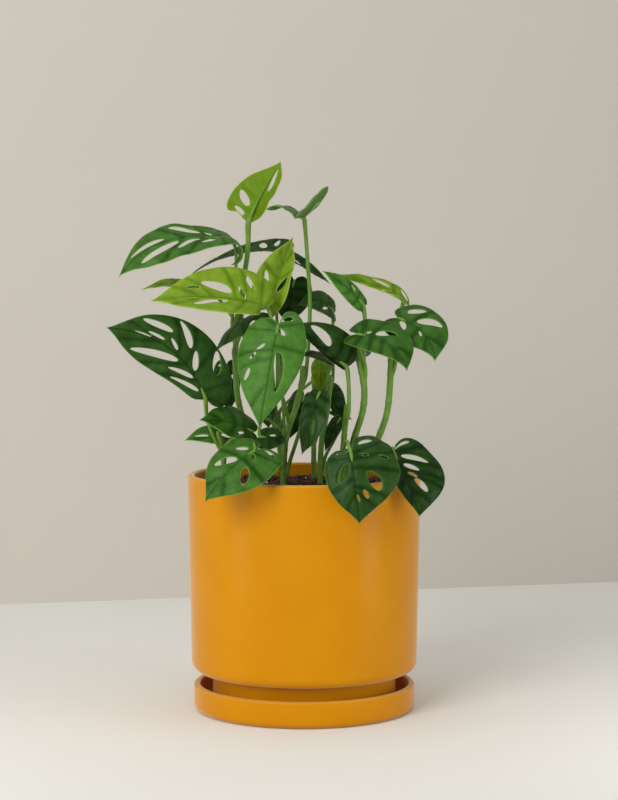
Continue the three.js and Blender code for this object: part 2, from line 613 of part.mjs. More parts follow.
// A blade as one closed solid: each panel is split into the same triangles on both skins
function bladeGeometry(leaf, shape) {
  const sides = [-1, 1].map((side) => {
    const holes = side < 0 ? leaf.left : leaf.right;
    return { side, holes, places: veinPlaces(shape.length, holes) };
  });
  const midribPlaces = [...new Set(sides.flatMap(({ places }) => places))]
    .filter((v) => v > 0.28 && v < 1)
    .sort((a, b) => a - b);
  const positions = [];
  const push = (...points) => points.forEach((point) => positions.push(point.x, point.y, point.z));
  const wall = (a, b) => push(a.bottom, b.bottom, b.top, a.bottom, b.top, a.top);
  const closed = (loop, each) => loop.forEach((corner, i) => each(corner, loop[(i + 1) % loop.length]));
  for (const { side, holes, places } of sides) {
    for (let index = 0; index < places.length - 1; index += 1) {
      const [from, to] = [places[index], places[index + 1]];
      const inside = holes.filter((hole) => (hole[0] + hole[1]) / 2 > from && (hole[0] + hole[1]) / 2 < to);
      const { corners, loops } = panelShape(shape, side, from, to, midribPlaces, inside);
      const all = [...corners, ...loops.flat()];
      all.forEach((corner) => Object.assign(corner, shape.solid(side, corner.place)));
      const contour = corners.map((corner) => corner.split);
      const openings = loops.map((loop) => loop.map((corner) => corner.split));
      const turnsLeft = THREE.ShapeUtils.area(contour) > 0;
      const loopsTurnLeft = openings.map((opening) => THREE.ShapeUtils.area(opening) > 0);
      for (const face of THREE.ShapeUtils.triangulateShape(contour, openings)) {
        const upward = THREE.ShapeUtils.area(face.map((i) => all[i].split)) > 0;
        const [a, b, c] = (upward ? face : [...face].reverse()).map((i) => all[i]);
        push(a.top, b.top, c.top, c.bottom, b.bottom, a.bottom);
      }
      closed(corners, (corner, next) => {
        if (!corner.onEdge || !next.onEdge) return;
        if (turnsLeft) wall(corner, next);
        else wall(next, corner);
      });
      loops.forEach((loop, k) => closed(loop, (corner, next) => {
        if (loopsTurnLeft[k]) wall(next, corner);
        else wall(corner, next);
      }));
    }
  }
  const geometry = new THREE.BufferGeometry();
  geometry.setAttribute('position', new THREE.Float32BufferAttribute(positions, 3));
  return geometry;
}

// A leaf: its blade joined with its stalk, which starts beside a stem and ends under the blade
function leafSolid(leaf) {
  const shape = bladeShape(leaf);
  const [number, height, side] = leaf.from;
  const stem = stems[number - 1];
  const radius = leaf.stalk ?? stalkRadius;
  const start = [0, 0.5, 1].map((share) => besideStem(stem, height + share * sheathLength, side, radius));
  const via = leaf.via.map((point) => new THREE.Vector3(...point));
  const base = new THREE.Vector3(...leaf.base).addScaledVector(shape.face, -0.4 * radius);
  const end = base.clone().addScaledVector(shape.midrib.getTangent(0), 2.5);
  const stalk = rod([...start, ...via, base, end], radius, stalkSides, stalkSteps);
  const joined = toSolid(bladeGeometry(leaf, shape)).add(toSolid(stalk));
  return joined.decompose().sort((a, b) => b.volume() - a.volume())[0];
}

// A repeatable unevenness of the soil, from -1 to 1
function crumb(x, y) {
  return 0.6 * Math.sin(0.19 * x + 1.3) * Math.cos(0.23 * y) + 0.4 * Math.sin(0.41 * x - 0.37 * y);
}

// The soil fills the pot, with a low uneven mound, and each stem stands in a hole in it
function soilSolid() {
  const { rimRadius, baseRadius, rimHeight, wall, bodyBottom, footFloor } = pot;
  const soilFloor = bodyBottom + footFloor;
  const lowRadius = baseRadius - wall - clearance;
  const share = (soil.top - soilFloor) / (rimHeight - soilFloor);
  const topRadius = lowRadius + (rimRadius - baseRadius) * share;
  const profile = [
    [0, soilFloor + clearance],
    [lowRadius, soilFloor + clearance],
    [topRadius, soil.top - 2],
  ];
  for (let ring = soil.rings; ring >= 0; ring -= 1) {
    profile.push([(topRadius - 2) * (ring / soil.rings), soil.top]);
  }
  const body = turned(profile);
  const position = body.attributes.position;
  for (let i = 0; i < position.count; i += 1) {
    const [x, y, z] = [position.getX(i), position.getY(i), position.getZ(i)];
    if (z > soil.top - 0.01) {
      const inward = 1 - Math.hypot(x, y) / topRadius;
      position.setZ(i, z + soil.mound * inward + soil.crumb * crumb(Math.round(x), Math.round(y)));
    }
  }
  return stems.reduce((rest, stem) => {
    const line = stemLine(stem, stemFoot - clearance);
    const hole = rod(line, stem.radius + 1.2 * clearance, stemSides, stemSteps(stem));
    return rest.subtract(toSolid(hole));
  }, toSolid(body));
}

// Finishes
const finishes = {
  glaze: { color: 0xd8961a, roughness: 0.32, metalness: 0 },
  soil: { color: 0x3a2620, roughness: 0.95, metalness: 0 },
  stem: { color: 0x5c7f34, roughness: 0.5, metalness: 0 },
  lime: { color: 0x86ad2c, roughness: 0.42, metalness: 0 },
  green: { color: 0x3f7d3a, roughness: 0.42, metalness: 0 },
  dark: { color: 0x24492a, roughness: 0.42, metalness: 0 },
};
const limeLeaves = [1, 5, 8, 9, 10, 26].map((number) => leaves[number - 1].name);
const greenLeaves = [2, 3, 7, 13, 16, 18, 19, 22, 23].map((number) => leaves[number - 1].name);

const plant = new THREE.Group();
plant.name = 'potted_monstera';

function addPiece(name, geometry, finish) {
  const piece = new THREE.Mesh(geometry, new THREE.MeshStandardMaterial(finishes[finish]));
  piece.name = name;
  plant.add(piece);
}

addPiece('saucer', toGeometry(toSolid(saucerGeometry())), 'glaze');
addPiece('pot', toGeometry(toSolid(potGeometry())), 'glaze');
addPiece('soil', toGeometry(soilSolid()), 'soil');
for (const stem of stems) {
  const body = rod(stemLine(stem), stem.radius, stemSides, stemSteps(stem));
  addPiece(stem.name, toGeometry(toSolid(body)), 'stem');
}
for (const leaf of leaves) {
  let finish = 'dark';
  if (limeLeaves.includes(leaf.name)) finish = 'lime';
  if (greenLeaves.includes(leaf.name)) finish = 'green';
  addPiece(leaf.name, toGeometry(leafSolid(leaf)), finish);
}

export default plant;
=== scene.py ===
# %% [markdown]
# # Potted Monstera epipremnoides in a mustard glazed pot
# The plant was first built as plain solids. This lesson dresses those solids in Blender: every piece
# is made again from the same sizes, only finer, and gets a finish of its own. The frame gives the
# solids at their places, so a finer piece only has to say which solid it stands for.

# %% Load the shared frame
import math
import random

import bpy
import numpy as np
from mathutils import Euler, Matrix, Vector, noise
from mathutils.geometry import delaunay_2d_cdt


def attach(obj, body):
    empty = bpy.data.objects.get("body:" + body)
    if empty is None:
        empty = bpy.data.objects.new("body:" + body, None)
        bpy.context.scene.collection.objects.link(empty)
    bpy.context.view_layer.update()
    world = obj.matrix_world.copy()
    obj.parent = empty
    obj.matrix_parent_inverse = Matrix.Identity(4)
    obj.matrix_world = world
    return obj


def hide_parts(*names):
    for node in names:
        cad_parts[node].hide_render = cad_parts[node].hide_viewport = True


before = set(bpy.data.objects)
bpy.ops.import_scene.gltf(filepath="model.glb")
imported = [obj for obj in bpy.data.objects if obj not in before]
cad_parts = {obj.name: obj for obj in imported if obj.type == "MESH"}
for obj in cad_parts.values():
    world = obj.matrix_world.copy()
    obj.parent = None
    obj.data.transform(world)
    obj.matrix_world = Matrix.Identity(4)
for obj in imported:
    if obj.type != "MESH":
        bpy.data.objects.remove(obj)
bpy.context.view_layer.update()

MM = 0.001          # sizes below are in millimetres, the scene is in metres
CLEARANCE = 0.3     # room that the solids keep between pieces
print("solids in the frame:", len(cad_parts))

# %% [markdown]
# ## Helpers for finishes
# Colours are easiest to compare with a photograph as sRGB hex values, but shader sockets want linear
# numbers, so one function converts them. Nodes are added by one small function too: it takes the
# node's settings by name and, for each input, either a value or the output of another node.

# %% Colour and node helpers
def linear(hex_code):
    """An sRGB hex colour as the linear RGBA that shader sockets take."""
    values = [int(hex_code[i:i + 2], 16) / 255 for i in (1, 3, 5)]
    straight = [v / 12.92 if v <= 0.04045 else ((v + 0.055) / 1.055) ** 2.4 for v in values]
    return (*straight, 1.0)


def add_node(tree, kind, links=None, **settings):
    """Adds one node. links gives a value or another node's output for each input."""
    node = tree.nodes.new(kind)
    for name, value in settings.items():
        setattr(node, name, value)
    for name, value in (links or {}).items():
        if isinstance(value, bpy.types.NodeSocket):
            tree.links.new(value, node.inputs[name])
        else:
            node.inputs[name].default_value = value
    return node


def new_tree(name):
    """A material with an empty node tree."""
    material = bpy.data.materials.new(name)
    material.use_nodes = True
    material.node_tree.nodes.clear()
    return material, material.node_tree


def per(size_mm):
    """A texture's scale for features of a real size, on coordinates in metres."""
    return 1000 / size_mm


print("mustard in linear light:", [round(value, 3) for value in linear("#C98A0C")])

# %% [markdown]
# ## Glazed stoneware
# The pot and its saucer are stoneware, dipped in a mustard glaze and fired. A glaze is a skin of
# glass about half a millimetre thick. This one is satin: face-on it hardly shines, and it turns
# pale towards the sides of the pot. So its reflections are weak, and a warm sheen, which shows only
# at a low angle, pales the sides. Noise with features of 45 mm lets it pool a little darker here
# and there. On an edge the glaze thins and breaks to a paler tone, and the pale lip is partly that
# break and partly a painted highlight. The mesh stores how near each point is to a lip, because the
# turned profile already knows that.

# %% Material: glazed stoneware, mustard
GLAZE_DEEP, GLAZE_LIGHT = "#C67F00", "#D28D00"
# the lip's paler colour: partly the glaze breaking thin, partly a painted highlight
GLAZE_BREAK_AND_HIGHLIGHT, GLAZE_SPECK = "#D59A3A", "#8A5606"


def glazed_stoneware():
    """The satin mustard glaze of pot and saucer."""
    material, tree = new_tree("glazed stoneware mustard")
    place = add_node(tree, "ShaderNodeTexCoord").outputs["Object"]
    pools = add_node(tree, "ShaderNodeTexNoise", {
        "Vector": place, "Scale": per(45), "Detail": 3.0, "Roughness": 0.5})
    body = add_node(tree, "ShaderNodeMix", {
        0: pools.outputs["Fac"], 6: linear(GLAZE_DEEP), 7: linear(GLAZE_LIGHT)}, data_type="RGBA")
    # pinholes and iron specks of about 0.4 mm, drawn at 0.9 mm so that the render can show them
    specks = add_node(tree, "ShaderNodeTexVoronoi", {"Vector": place, "Scale": per(5)})
    near = add_node(tree, "ShaderNodeMapRange", {
        "Value": specks.outputs["Distance"], "From Min": 0.06, "From Max": 0.12,
        "To Min": 0.5, "To Max": 0.0})
    rare = add_node(tree, "ShaderNodeTexNoise", {"Vector": place, "Scale": per(9), "Detail": 1.0})
    chosen = add_node(tree, "ShaderNodeMapRange", {
        "Value": rare.outputs["Fac"], "From Min": 0.6, "From Max": 0.64})
    speck = add_node(tree, "ShaderNodeMath", {
        0: near.outputs["Result"], 1: chosen.outputs["Result"]}, operation="MULTIPLY")
    specked = add_node(tree, "ShaderNodeMix", {
        0: speck.outputs["Value"], 6: body.outputs[2], 7: linear(GLAZE_SPECK)}, data_type="RGBA")
    # the lip turns paler: partly the glaze breaking on the edge, partly a painted highlight
    lip = add_node(tree, "ShaderNodeAttribute", attribute_name="lip")
    broken_and_highlit = add_node(tree, "ShaderNodeMix", {
        0: lip.outputs["Fac"], 6: specked.outputs[2], 7: linear(GLAZE_BREAK_AND_HIGHLIGHT)}, data_type="RGBA")
    # slow ripples of the melted glass, some 12 mm from crest to crest
    ripple = add_node(tree, "ShaderNodeTexNoise", {"Vector": place, "Scale": per(12), "Detail": 2.0})
    bump = add_node(tree, "ShaderNodeBump", {
        "Height": ripple.outputs["Fac"], "Strength": 0.12, "Distance": 0.0006})
    glaze = add_node(tree, "ShaderNodeBsdfPrincipled", {
        "Base Color": broken_and_highlit.outputs[2], "Roughness": 0.42, "Specular IOR Level": 0.06,
        "Coat Weight": 0.09, "Coat Roughness": 0.16, "Sheen Weight": 0.9, "Sheen Roughness": 0.3,
        "Sheen Tint": linear("#FFE9CC"), "Normal": bump.outputs["Normal"]})
    add_node(tree, "ShaderNodeOutputMaterial", {"Surface": glaze.outputs[0]})
    return material


glaze_finish = glazed_stoneware()
print("made", glaze_finish.name)

# %% [markdown]
# ## Turned pieces
# Pot and saucer are bodies of revolution. A profile of [radius, height] points runs up the outside
# and back down the inside, and is swept about Z. The solids are made of wider flat sides. Here 192
# sides and finer rounds make the outline smooth, and smooth shading does the rest, except where the
# profile has a true corner.

# %% Profiles and the turning function
def arc(centre_r, centre_z, radius, first, last, steps=10):
    """Points of an arc in a [radius, height] profile, angles in degrees."""
    angles = np.radians(np.linspace(first, last, steps + 1))
    return [(centre_r + radius * math.cos(a), centre_z + radius * math.sin(a)) for a in angles]


def lip_share(points, top, depth):
    """How far the glaze has thinned, with the painted highlight on a lip: 1 at its top and 0 at this
    depth below it.
    """
    return np.clip((points[:, 2] - top + depth) / depth, 0, 1) ** 2


def turned(profile, sides=192):
    """Sweeps a profile about Z and gives points and faces. A radius of 0 becomes one point."""
    points, rings = [], []
    angles = np.linspace(0, 2 * np.pi, sides, endpoint=False)
    for k, (radius, height) in enumerate(profile):
        if k and k == len(profile) - 1 and math.dist(profile[0], profile[-1]) < 1e-6:
            rings.append(rings[0])
        elif radius < 1e-6:
            rings.append([len(points)] * sides)
            points.append((0, 0, height))
        else:
            rings.append(list(range(len(points), len(points) + sides)))
            points += [(radius * math.cos(a), radius * math.sin(a), height) for a in angles]
    faces = []
    for low, high in zip(rings, rings[1:]):
        for i in range(sides):
            j = (i + 1) % sides
            corners = [low[i], low[j], high[j], high[i]]
            face = [c for k, c in enumerate(corners) if c != corners[k - 1]]
            if len(face) > 2:
                faces.append(face)
    return np.array(points, float), faces


def make_piece(name, points, faces, materials, numbers=None, sharp=None, second_from=None):
    """A smooth mesh from points in millimetres, on the root body, with numbers on its points."""
    mesh = bpy.data.meshes.new(name)
    mesh.from_pydata((np.asarray(points) * MM).tolist(), [], faces)
    for key, values in (numbers or {}).items():
        values = np.asarray(values, np.float32)
        kind = "FLOAT" if values.ndim == 1 else "FLOAT_VECTOR"
        mesh.attributes.new(key, kind, "POINT").data.foreach_set(
            "value" if values.ndim == 1 else "vector", values.ravel())
    for material in materials:
        mesh.materials.append(material)
    if second_from is not None:
        marks = np.zeros(len(mesh.polygons), np.int32)
        marks[second_from:] = 1
        mesh.polygons.foreach_set("material_index", marks)
    mesh.shade_smooth()
    if sharp:
        mesh.set_sharp_from_angle(angle=math.radians(sharp))
    mesh.validate()
    piece = bpy.data.objects.new(name, mesh)
    bpy.context.scene.collection.objects.link(piece)
    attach(piece, "root")
    return piece


print("a round of 3 mm has", len(arc(0, 0, 3, 0, 90)), "points")

# %% [markdown]
# ## Saucer
# A shallow glazed dish with an upright wall 23 mm high and a softly rounded rim. Its foot is flat.
# It needs only its profile: rounded heel, outer wall, rim, inner wall, a cove and the floor.

# %% Make the saucer
SAUCER_R, SAUCER_H, SAUCER_WALL, SAUCER_FLOOR = 96.5, 23, 5.5, 8
SAUCER_HEEL, SAUCER_ROUND, SAUCER_COVE = 6, 2, 3     # radii of its rounds
inner, round_z = SAUCER_R - SAUCER_WALL, SAUCER_H - SAUCER_ROUND
saucer_profile = [
    (0, 0), (60, 0), *arc(SAUCER_R - SAUCER_HEEL, SAUCER_HEEL, SAUCER_HEEL, -90, 0, 8),
    *arc(SAUCER_R - SAUCER_ROUND, round_z, SAUCER_ROUND, 0, 90, 6),
    *arc(inner + SAUCER_ROUND, round_z, SAUCER_ROUND, 90, 180, 6),
    *arc(inner - SAUCER_COVE, SAUCER_FLOOR + SAUCER_COVE, SAUCER_COVE, 0, -90, 6),
    (40, SAUCER_FLOOR), (0, SAUCER_FLOOR),
]
points, faces = turned(saucer_profile)
# the saucer's rim is painted paler: partly a glaze break, partly a painted highlight
lip = 0.7 * lip_share(points, SAUCER_H, 2.2)
saucer = make_piece("saucer_glazed", points, faces, [glaze_finish], {"lip": lip}, sharp=45)
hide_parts("saucer")
print("saucer faces:", len(faces))

# %% [markdown]
# ## Pot
# A cylinder a little wider at the lip than at the base, 6 mm thick, with a rolled lip and a recessed
# foot that stands in the saucer. It has one drain hole. The profile closes on itself, so the body
# is one ring of clay, as the real one is.

# %% Make the pot
POT_RIM, POT_BASE, POT_TOP, POT_WALL, POT_FLOOR = 101.5, 98.5, 206, 6, 10
POT_LIP, POT_HEEL, POT_COVE, FOOT_ROUND = 2.6, 9, 2, 1.5     # radii of its rounds
FOOT_R, FOOT_Z, BODY_Z, DRAIN_R = 80, SAUCER_FLOOR + CLEARANCE, 34, 8
SOIL_FLOOR = BODY_Z + POT_FLOOR
pot_profile = [
    (DRAIN_R, FOOT_Z), *arc(FOOT_R - FOOT_ROUND, FOOT_Z + FOOT_ROUND, FOOT_ROUND, -90, 0, 4),
    (FOOT_R, BODY_Z), *arc(POT_BASE - POT_HEEL, BODY_Z + POT_HEEL, POT_HEEL, -90, 0, 12),
    *arc(POT_RIM - POT_LIP, POT_TOP - POT_LIP, POT_LIP, 0, 90, 8),
    *arc(POT_RIM - POT_WALL + POT_LIP, POT_TOP - POT_LIP, POT_LIP, 90, 180, 8),
    *arc(POT_BASE - POT_WALL - POT_COVE, SOIL_FLOOR + POT_COVE, POT_COVE, 0, -90, 4),
    (DRAIN_R, SOIL_FLOOR), (DRAIN_R, FOOT_Z),
]
points, faces = turned(pot_profile)
# the pot's lip is painted paler: partly a glaze break, partly a painted highlight
lip = lip_share(points, POT_TOP, 3.2)
pot = make_piece("pot_glazed", points, faces, [glaze_finish], {"lip": lip}, sharp=45)
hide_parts("pot")
print("pot faces:", len(faces))

# %% [markdown]
# ## Potting soil
# Peat with bark chips and white perlite. The body is a turned plug that fills the pot, and its top
# is a low mound. Crumbs are a height pattern on a fine polar grid: lumps of about 9 mm, crumbs of
# 3.5 mm and grit of 1.4 mm. Bark and perlite lie on it as small separate lumps.

# %% Material: peat with bark
def peat():
    """Dark peat with crumbs of 4 mm in its colour and grit of 1.5 mm in its surface."""
    material, tree = new_tree("peat potting soil")
    place = add_node(tree, "ShaderNodeTexCoord").outputs["Object"]
    crumbs = add_node(tree, "ShaderNodeTexNoise", {
        "Vector": place, "Scale": per(4), "Detail": 5.0, "Roughness": 0.65})
    colour = add_node(tree, "ShaderNodeMix", {
        0: crumbs.outputs["Fac"], 6: linear("#170D0A"), 7: linear("#503428")}, data_type="RGBA")
    grit = add_node(tree, "ShaderNodeTexVoronoi", {"Vector": place, "Scale": per(1.5)})
    bump = add_node(tree, "ShaderNodeBump", {
        "Height": grit.outputs["Distance"], "Strength": 0.7, "Distance": 0.0008})
    soil = add_node(tree, "ShaderNodeBsdfPrincipled", {
        "Base Color": colour.outputs[2], "Roughness": 0.95, "IOR": 1.4,
        "Normal": bump.outputs["Normal"]})
    add_node(tree, "ShaderNodeOutputMaterial", {"Surface": soil.outputs[0]})
    return material


peat_finish = peat()
print("made", peat_finish.name)

# %% Make the soil
SOIL_TOP, SOIL_MOUND = 194, 3
soil_low_r = POT_BASE - POT_WALL - CLEARANCE
soil_top_r = soil_low_r + (POT_RIM - POT_BASE) * (SOIL_TOP - SOIL_FLOOR) / (POT_TOP - SOIL_FLOOR)


def soil_height(x, y):
    """Height of the soil's surface: a low mound with lumps, crumbs and grit."""
    spot = Vector((x, y, 0))
    inward = 1 - math.hypot(x, y) / soil_top_r
    lumps = 1.1 * noise.noise(spot / 9)
    crumbs = 1.0 * (0.5 - noise.voronoi(spot / 3.5)[0][0])
    grit = 0.5 * (0.5 - noise.voronoi(spot / 1.4)[0][0])
    return SOIL_TOP + SOIL_MOUND * inward + (lumps + crumbs + grit) * min(1, 12 * inward + 0.2)


soil_rings = 88
soil_bottom = SOIL_FLOOR + CLEARANCE
soil_profile = [(0, soil_bottom), (soil_low_r, soil_bottom), (soil_top_r, SOIL_TOP - 2)]
for k in range(soil_rings + 1):
    # the power sets the rings a little closer together near the pot's wall
    soil_profile.append(((soil_top_r - 0.6) * (1 - k / soil_rings) ** 0.85, SOIL_TOP))
points, faces = turned(soil_profile, 240)
on_top = points[:, 2] > SOIL_TOP - 0.01
points[on_top, 2] = [soil_height(x, y) for x, y, _ in points[on_top]]
soil = make_piece("potting_soil", points, faces, [peat_finish])
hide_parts("soil")
print("soil faces:", len(faces))

# %% [markdown]
# ## Bark chips and perlite
# Chips of composted bark are flat, angular and 4 to 12 mm long. Perlite is blown volcanic glass, in
# soft white grains of 1.2 to 2.8 mm. Each lump is a small ball of points, stretched and pushed in
# and out by noise. All chips form one piece and all grains another, each with a fixed seed.

# %% Materials: composted bark and perlite
def grainy(name, dark, light, size_mm, roughness):
    """A rough crumbly finish that is mixed from two colours by noise of one size."""
    material, tree = new_tree(name)
    place = add_node(tree, "ShaderNodeTexCoord").outputs["Object"]
    grain = add_node(tree, "ShaderNodeTexNoise", {
        "Vector": place, "Scale": per(size_mm), "Detail": 4.0, "Roughness": 0.6})
    colour = add_node(tree, "ShaderNodeMix", {
        0: grain.outputs["Fac"], 6: linear(dark), 7: linear(light)}, data_type="RGBA")
    bump = add_node(tree, "ShaderNodeBump", {
        "Height": grain.outputs["Fac"], "Strength": 0.5, "Distance": 0.0005})
    surface = add_node(tree, "ShaderNodeBsdfPrincipled", {
        "Base Color": colour.outputs[2], "Roughness": roughness, "IOR": 1.45,
        "Normal": bump.outputs["Normal"]})
    add_node(tree, "ShaderNodeOutputMaterial", {"Surface": surface.outputs[0]})
    return material


bark_finish = grainy("composted bark", "#26150F", "#6E4736", 2.5, 0.85)
perlite_finish = grainy("perlite", "#CFC9BC", "#F2EEE4", 1.2, 0.7)
print("made", bark_finish.name, "and", perlite_finish.name)


# %% Scatter the chips and grains
def ball(rows=5, columns=8):
    """Points and faces of a coarse unit ball."""
    profile = [(math.sin(math.pi * k / rows), -math.cos(math.pi * k / rows)) for k in range(rows + 1)]
    return turned(profile, columns)


def scatter(rng, count, lengths, flatness, roughen):
    """Many lumps on the soil as one mesh."""
    round_points, round_faces = ball()
    points, faces = [], []
    for _ in range(count):
        length = rng.uniform(*lengths)
        size = np.array([length, length * rng.uniform(0.45, 0.8), length * flatness]) / 2
        around = rng.uniform(0, 2 * math.pi)
        radius = (soil_top_r - length / 2 - 1.5) * math.sqrt(rng.random())
        x, y = radius * math.cos(around), radius * math.sin(around)
        tilt = (rng.uniform(-0.5, 0.5), rng.uniform(-0.5, 0.5), rng.uniform(0, 6.3))
        seed = Vector((rng.uniform(0, 99), rng.uniform(0, 99), 0))
        push = [1 + roughen * noise.noise(Vector(p) * 1.6 + seed) for p in round_points]
        lump = (round_points * np.array(push)[:, None] * size) @ np.array(Euler(tilt).to_matrix()).T
        start = len(points) * len(round_points)
        points.append(lump + [x, y, soil_height(x, y) + size[2] * 0.5])
        faces += [[start + c for c in face] for face in round_faces]
    return np.concatenate(points), faces


points, faces = scatter(random.Random(3), 300, (4, 12), 0.32, 0.9)
chips = make_piece("bark_chips", points, faces, [bark_finish], sharp=30)
points, faces = scatter(random.Random(5), 60, (1.2, 2.8), 0.8, 0.4)
grains = make_piece("perlite_grains", points, faces, [perlite_finish])
print("chip and grain faces:", len(chips.data.polygons), len(grains.data.polygons))

# %% [markdown]
# ## Living green skin
# Stems and stalks are young plant stem: a waxy green skin over watery tissue. The wax gives a soft
# sheen, fibres run along it as fine lines, and a node is paler with a brown scar. The mesh stores
# where each point lies round and along the rod, so that the lines follow every bend.

# %% Material: plant stem
def plant_stem(name, deep, fresh, scar):
    """A waxy green skin with fibres and scars, on coordinates in millimetres along the stem."""
    material, tree = new_tree(name)
    run = add_node(tree, "ShaderNodeAttribute", attribute_name="run").outputs["Vector"]
    # fibres about 0.6 mm apart round the stem, drawn long and thin along it
    drawn = add_node(tree, "ShaderNodeMapping", {"Vector": run, "Scale": (1.6, 1.6, 0.05)})
    fibres = add_node(tree, "ShaderNodeTexNoise", {
        "Vector": drawn.outputs[0], "Scale": 1.0, "Detail": 3.0})
    # paler and darker stretches of some 11 mm
    blotch = add_node(tree, "ShaderNodeTexNoise", {"Vector": run, "Scale": 0.09, "Detail": 2.0})
    share = add_node(tree, "ShaderNodeMath", {
        0: fibres.outputs["Fac"], 1: blotch.outputs["Fac"], 2: 0.12}, operation="MULTIPLY_ADD")
    green = add_node(tree, "ShaderNodeMix", {
        0: share.outputs[0], 6: linear(deep), 7: linear(fresh)}, data_type="RGBA")
    ring = add_node(tree, "ShaderNodeAttribute", attribute_name="ring")
    colour = add_node(tree, "ShaderNodeMix", {
        0: ring.outputs["Fac"], 6: green.outputs[2], 7: linear(scar)}, data_type="RGBA")
    bump = add_node(tree, "ShaderNodeBump", {
        "Height": fibres.outputs["Fac"], "Strength": 0.35, "Distance": 0.0004})
    skin = add_node(tree, "ShaderNodeBsdfPrincipled", {
        "Base Color": colour.outputs[2], "Roughness": 0.42, "Specular IOR Level": 0.3,
        "Subsurface Weight": 0.08, "Subsurface Scale": 0.002, "Normal": bump.outputs["Normal"]})
    add_node(tree, "ShaderNodeOutputMaterial", {"Surface": skin.outputs[0]})
    return material


stem_finish = plant_stem("plant stem skin", "#406C18", "#8DB548", "#7E8845")
print("made", stem_finish.name)

# %% [markdown]
# ## Round rods along a smooth line
# Stems and stalks are rods. Their centre line is a centripetal Catmull-Rom curve, the same kind that
# the solids use, so both run through the same places. The rod's section is carried along without
# twisting, and its radius may change on the way.

# %% Smooth lines and rods
def between(b, c, leave, arrive, t):
    """A cubic from b to c that leaves and arrives with these slopes, for t from 0 to 1."""
    return (b + leave * t + (3 * (c - b) - 2 * leave - arrive) * t ** 2
            + (2 * (b - c) + leave + arrive) * t ** 3)


def smooth_line(points, count):
    """Points along a centripetal Catmull-Rom curve, evenly spaced, with its end points in it."""
    p = np.array(points, float)
    p = np.vstack([2 * p[0] - p[1], p, 2 * p[-1] - p[-2]])
    t = np.linspace(0, 1, 24, endpoint=False)[:, None]
    line = []
    for a, b, c, d in zip(p, p[1:], p[2:], p[3:]):
        first, middle, last = (max(np.linalg.norm(k), 1e-6) ** 0.5 for k in (b - a, c - b, d - c))
        leave = ((b - a) / first - (c - a) / (first + middle) + (c - b) / middle) * middle
        arrive = ((c - b) / middle - (d - b) / (middle + last) + (d - c) / last) * middle
        line.append(between(b, c, leave, arrive, t))
    return even(np.vstack([*line, p[-2]]), count)


def even(line, count):
    """The same polyline with evenly spaced points."""
    lengths = np.linalg.norm(np.diff(line, axis=0), axis=1)
    reached = np.concatenate([[0], np.cumsum(lengths)])
    wanted = np.linspace(0, reached[-1], count)
    return np.stack([np.interp(wanted, reached, line[:, k]) for k in range(line.shape[1])], 1)


def rod(line, radii, sides):
    """Points, faces and running coordinates of a rod. Its ends are closed."""
    tangents = np.gradient(line, axis=0)
    tangents /= np.linalg.norm(tangents, axis=1)[:, None]
    side = np.cross(tangents[0], [0, 1, 0.3])
    points, run = [], []
    reached = 0.0
    for k, (centre, along, radius) in enumerate(zip(line, tangents, radii)):
        side = side - along * side.dot(along)
        side /= np.linalg.norm(side)
        other = np.cross(along, side)
        reached += np.linalg.norm(centre - line[max(k - 1, 0)])
        for i in range(sides):
            angle = 2 * math.pi * i / sides
            way = math.cos(angle) * side + math.sin(angle) * other
            points.append(centre + radius * way)
            run.append((radius * math.cos(angle), radius * math.sin(angle), reached))
    faces = [list(range(sides))[::-1]]
    for k in range(len(line) - 1):
        for i in range(sides):
            j = (i + 1) % sides
            faces.append([k * sides + i, k * sides + j, (k + 1) * sides + j, (k + 1) * sides + i])
    faces.append([(len(line) - 1) * sides + i for i in range(sides)])
    return np.array(points), faces, np.array(run)


print("points on a short line:", len(smooth_line([(0, 0, 0), (0, 0, 5), (1, 0, 9)], 12)))

# %% [markdown]
# ## Stems and leaves: the table
# The plant was set out from the photograph, one row for each stem and leaf. A stem row has its
# radius and its centre line above the soil. In a leaf row, start is the stem's number, the height
# on it and the side in degrees, and via leads the stalk to the blade. base and tip are the blade's
# ends and face is the way its upper side looks. half gives the widths of its two sides, lobe the
# reach of the basal lobes in blade lengths, and skew moves the widest part. bow and sway bend the
# midrib, fold and curl raise or drop the sides, droop bends the lobes down behind the stalk, and
# twist turns the blade about its midrib. A hole has its two ends along the edge and then its inner
# and outer end along the side veins. What a row leaves out is as in USUAL_LEAF.

# %% Stem and leaf rows
STEMS = [
    (2.6, [(-43, 15, 205), (-49, 12, 236), (-58, 10, 271), (-60, 8, 305), (-58, 6, 345)]),
    (2.7, [(-18, -12, 203), (-15.5, -14, 240), (-8, -10, 262), (-2, -6, 285), (-0.5, -3, 300)]),
    (2.3, [(8.5, 25, 203), (8.5, 25, 235), (10, 24, 262), (8, 26, 290)]),
    (2.5, [(14, 4, 203), (15, 2, 232), (20, 0, 262), (23, 2, 292)]),
    (2.4, [(31, -22, 203), (34, -24, 236), (37, -22, 268)]),
    (2.8, [(36, -2, 203), (42, -4, 232), (51, -6, 262), (52, -6, 282), (46, -6, 312)]),
    (2.8, [(54, 16, 203), (62, 14, 228), (72, 12, 256), (75.5, 12, 290), (76, 12, 318)]),
    (2.3, [(-70, -14, 203), (-70, -20, 228), (-74, -28, 245)]),
    (2.4, [(-20, 46, 203), (-24, 52, 240), (-30, 54, 290)]),
]

USUAL_LEAF = dict(
    stalk=1.5, lobe=(0.1, 0.1), skew=(1, 1), bow=(0.1, 0.1), sway=(0, 0), fold=(0, 0),
    curl=(-10, -10), droop=20, twist=0, left=[], right=[])

